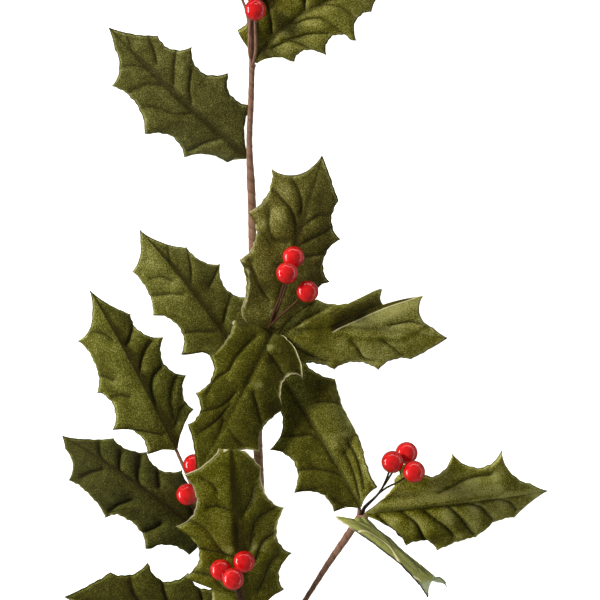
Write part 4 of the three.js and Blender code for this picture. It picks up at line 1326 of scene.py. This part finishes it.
# berries and their wires, as seen in the measuring plane: the stem that carries a group, radius of its wires,
# twist: radii of the first wire's lowest places, middles of the berries, and places along each wire
clusters = {
    "top": {
        "stem": "main_stem",
        "radius": 0.7,
        "berries": [[-22.2, 145.1, 33], [-23.5, 154.5, 26.8], [-28.5, 162.5, 33]],
        "wires": [
            [[-24, 117, 20.8], [-22.3, 124, 21.6], [-22.4, 138, 24]],
            [[-24, 117, 20.8], [-25.4, 124, 21.6], [-25, 139, 22], [-24.4, 147, 22]],
            [[-25, 134, 21.6], [-27, 145, 19.5], [-30.5, 155, 21.5]],
        ],
    },
    "upper": {
        "stem": "twig_upper",
        "radius": 0.58,
        "berries": [[-3.3, 21.5, 53], [-6.5, 13.5, 60.5], [3.7, 4.3, 55]],
        "wires": [
            [[-15.9, -13.4, 26], [-15.7, -13.3, 32], [-15, -13, 36], [-12, -7, 39.5], [-6.5, 8, 46]],
            [[-15.6, -13.2, 33], [-15, -12, 37], [-13, -6, 41], [-9.5, 3, 52]],
            [[-15.5, -13.2, 33.5], [-14, -12, 38], [-11, -9, 39.5], [-3, -2, 48]],
        ],
    },
    "right": {
        "stem": "branch_right",
        "radius": 0.5,
        "twist": [1.0, 0.95],
        "berries": [[46.3, -81, 52], [53.3, -76.5, 44], [57, -85.9, 52]],
        "wires": [
            [[31.4, -105.9, 25.3], [32.3, -103.8, 29.5], [39.5, -96.5, 38], [43, -90, 45]],
            [[39, -97, 37.4], [43.5, -90.5, 40], [47.5, -84, 41]],
            [[38.5, -97.5, 36.8], [43, -94, 42], [49, -91, 46]],
        ],
    },
    "left": {
        "stem": "twig_left",
        "radius": 0.7,
        "berries": [[-53, -82.5, 26.5], [-56.5, -97.3, 31], [-44.5, -97, 24]],
        "wires": [
            [[-43, -118.5, 18], [-48.5, -104, 20.5], [-51.5, -92, 22.5]],
            [[-43, -118.5, 18], [-50, -108, 22.5], [-54, -103, 26]],
            [[-43, -118.5, 18], [-43.5, -110, 19], [-44, -104, 20.5]],
        ],
    },
    "low": {
        "stem": "twig_low",
        "radius": 0.6,
        "berries": [[-39.5, -135, 53], [-28, -130.8, 53.5], [-33.5, -139.5, 62.5]],
        "wires": [
            [[-24.2, -168.6, 24], [-27, -158, 32], [-30.5, -148, 43], [-35.5, -141, 49]],
            [[-27, -158, 32], [-29.5, -146, 43], [-28.8, -138, 49]],
            [[-26.6, -159.5, 31.2], [-29, -153, 40], [-31.5, -147, 50]],
        ],
    },
}
wireFinish = {"right": ("wire_black", wireBlackLook), "top": ("wire_tape", tapeLook)}
wireWrap = {
    "rings": 60,
    "around": 12,
    "step": 0.05,
    "pitch": 3.0,
    "intoBerry": 0.3,  # how far a wire ends inside its berry
    "stubRings": 12,
    "overlap": 0.6,  # how far the stub runs into the first wire
    "axisPlaces": 400,
    "axisSpare": 20,  # places at the stem's end that carry no stub
}
berry = {
    "radius": 5.5,
    "around": 48,
    "rings": 32,
    "dimple": 0.35,
    # angle of the dimple, angle and darkness of its shade: at the far pole and where the wire enters
    "far": (0.16, 0.1, 0.7),
    "near": (0.2, 0.14, 0.8),
}


def ball(middle, pole):
    # a round berry, drawn in at each pole by dimple * e^(-(angle / width)^2), and darker there
    u = np.linspace(0, math.pi, berry["rings"] + 1)[1:-1]
    v = np.arange(berry["around"]) / berry["around"] * 2 * math.pi
    (farWide, farShade, farDark), (nearWide, nearShade, nearDark) = berry["far"], berry["near"]
    dimples = np.exp(-((u / farWide) ** 2)) + np.exp(-(((math.pi - u) / nearWide) ** 2))
    r = berry["radius"] - berry["dimple"] * dimples
    z = pole / np.linalg.norm(pole)
    x = np.cross(z, [0.3, 0.5, 0.8])
    x /= np.linalg.norm(x)
    y = np.cross(z, x)
    ring = x * np.cos(v)[:, None] + y * np.sin(v)[:, None]
    p = middle + (r * np.sin(u))[:, None, None] * ring + (r * np.cos(u))[:, None, None] * z
    deepest = z * (berry["radius"] - berry["dimple"])
    places = np.concatenate([p.reshape(-1, 3), [middle + deepest, middle - deepest]])
    n, rings = berry["around"], len(u)
    i, j = np.arange(rings - 1)[:, None] * n, np.arange(n)
    k = (j + 1) % n
    faces = np.stack([i + j, i + n + j, i + n + k, i + k], -1).reshape(-1, 4).tolist()
    faces += [[rings * n, int(a), int(b)] for a, b in zip(j, k)]
    faces += [[rings * n + 1, (rings - 1) * n + int(b), (rings - 1) * n + int(a)] for a, b in zip(j, k)]
    shade = farDark * np.exp(-((u / farShade) ** 2)) + nearDark * np.exp(-(((math.pi - u) / nearShade) ** 2))
    return places, faces, {"crease": np.concatenate([np.repeat(shade, n), [farDark, nearDark]])}


for name, cluster in clusters.items():
    centres = seen(cluster["berries"])
    twist = cluster.get("twist", [cluster["radius"]] * 2)
    # a stub joins the wires to their stem: from the nearest place on its axis to a little past their foot
    foot = seen(cluster["wires"][0][0])
    axis = seen(np.array(stems[cluster["stem"]], float)[:, :3])
    axis = smoothLine(axis, wireWrap["axisPlaces"])[:-wireWrap["axisSpare"]]
    seat = axis[np.linalg.norm(axis - foot, axis=1).argmin()]
    reach = wireWrap["overlap"] * (foot - seat) / np.linalg.norm(foot - seat)
    runs = [tube([seat, foot + reach], twist[:1] * 2, wireWrap["stubRings"], wireWrap["around"])]
    for i, wire in enumerate(cluster["wires"]):
        places = seen(wire)
        stand = places[-1] - centres[i]
        stand /= np.linalg.norm(stand)
        end = centres[i] + stand * (berry["radius"] - wireWrap["intoBerry"])
        places = np.concatenate([places, [end]])
        radii = [cluster["radius"]] * len(places)
        if i == 0:
            radii[:2] = twist
        runs.append(tube(
            places, radii, wireWrap["rings"], wireWrap["around"], wireWrap["step"], wireWrap["pitch"]
        ))
        v, f, values = ball(centres[i], -stand)
        addPiece(
            f"red_{name}_{i + 1}", f"berry_{name}_{i + 1}", v, f, [berryLook], values=values
        )
    v, f, uv = joinParts(runs)
    slot, look = wireFinish.get(name, ("wire_tape", wireTapeLook))
    addPiece(f"wire_{name}", f"wires_{name}", v, f, [look], uv=uv)
print("berries and wires are made")

low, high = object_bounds()
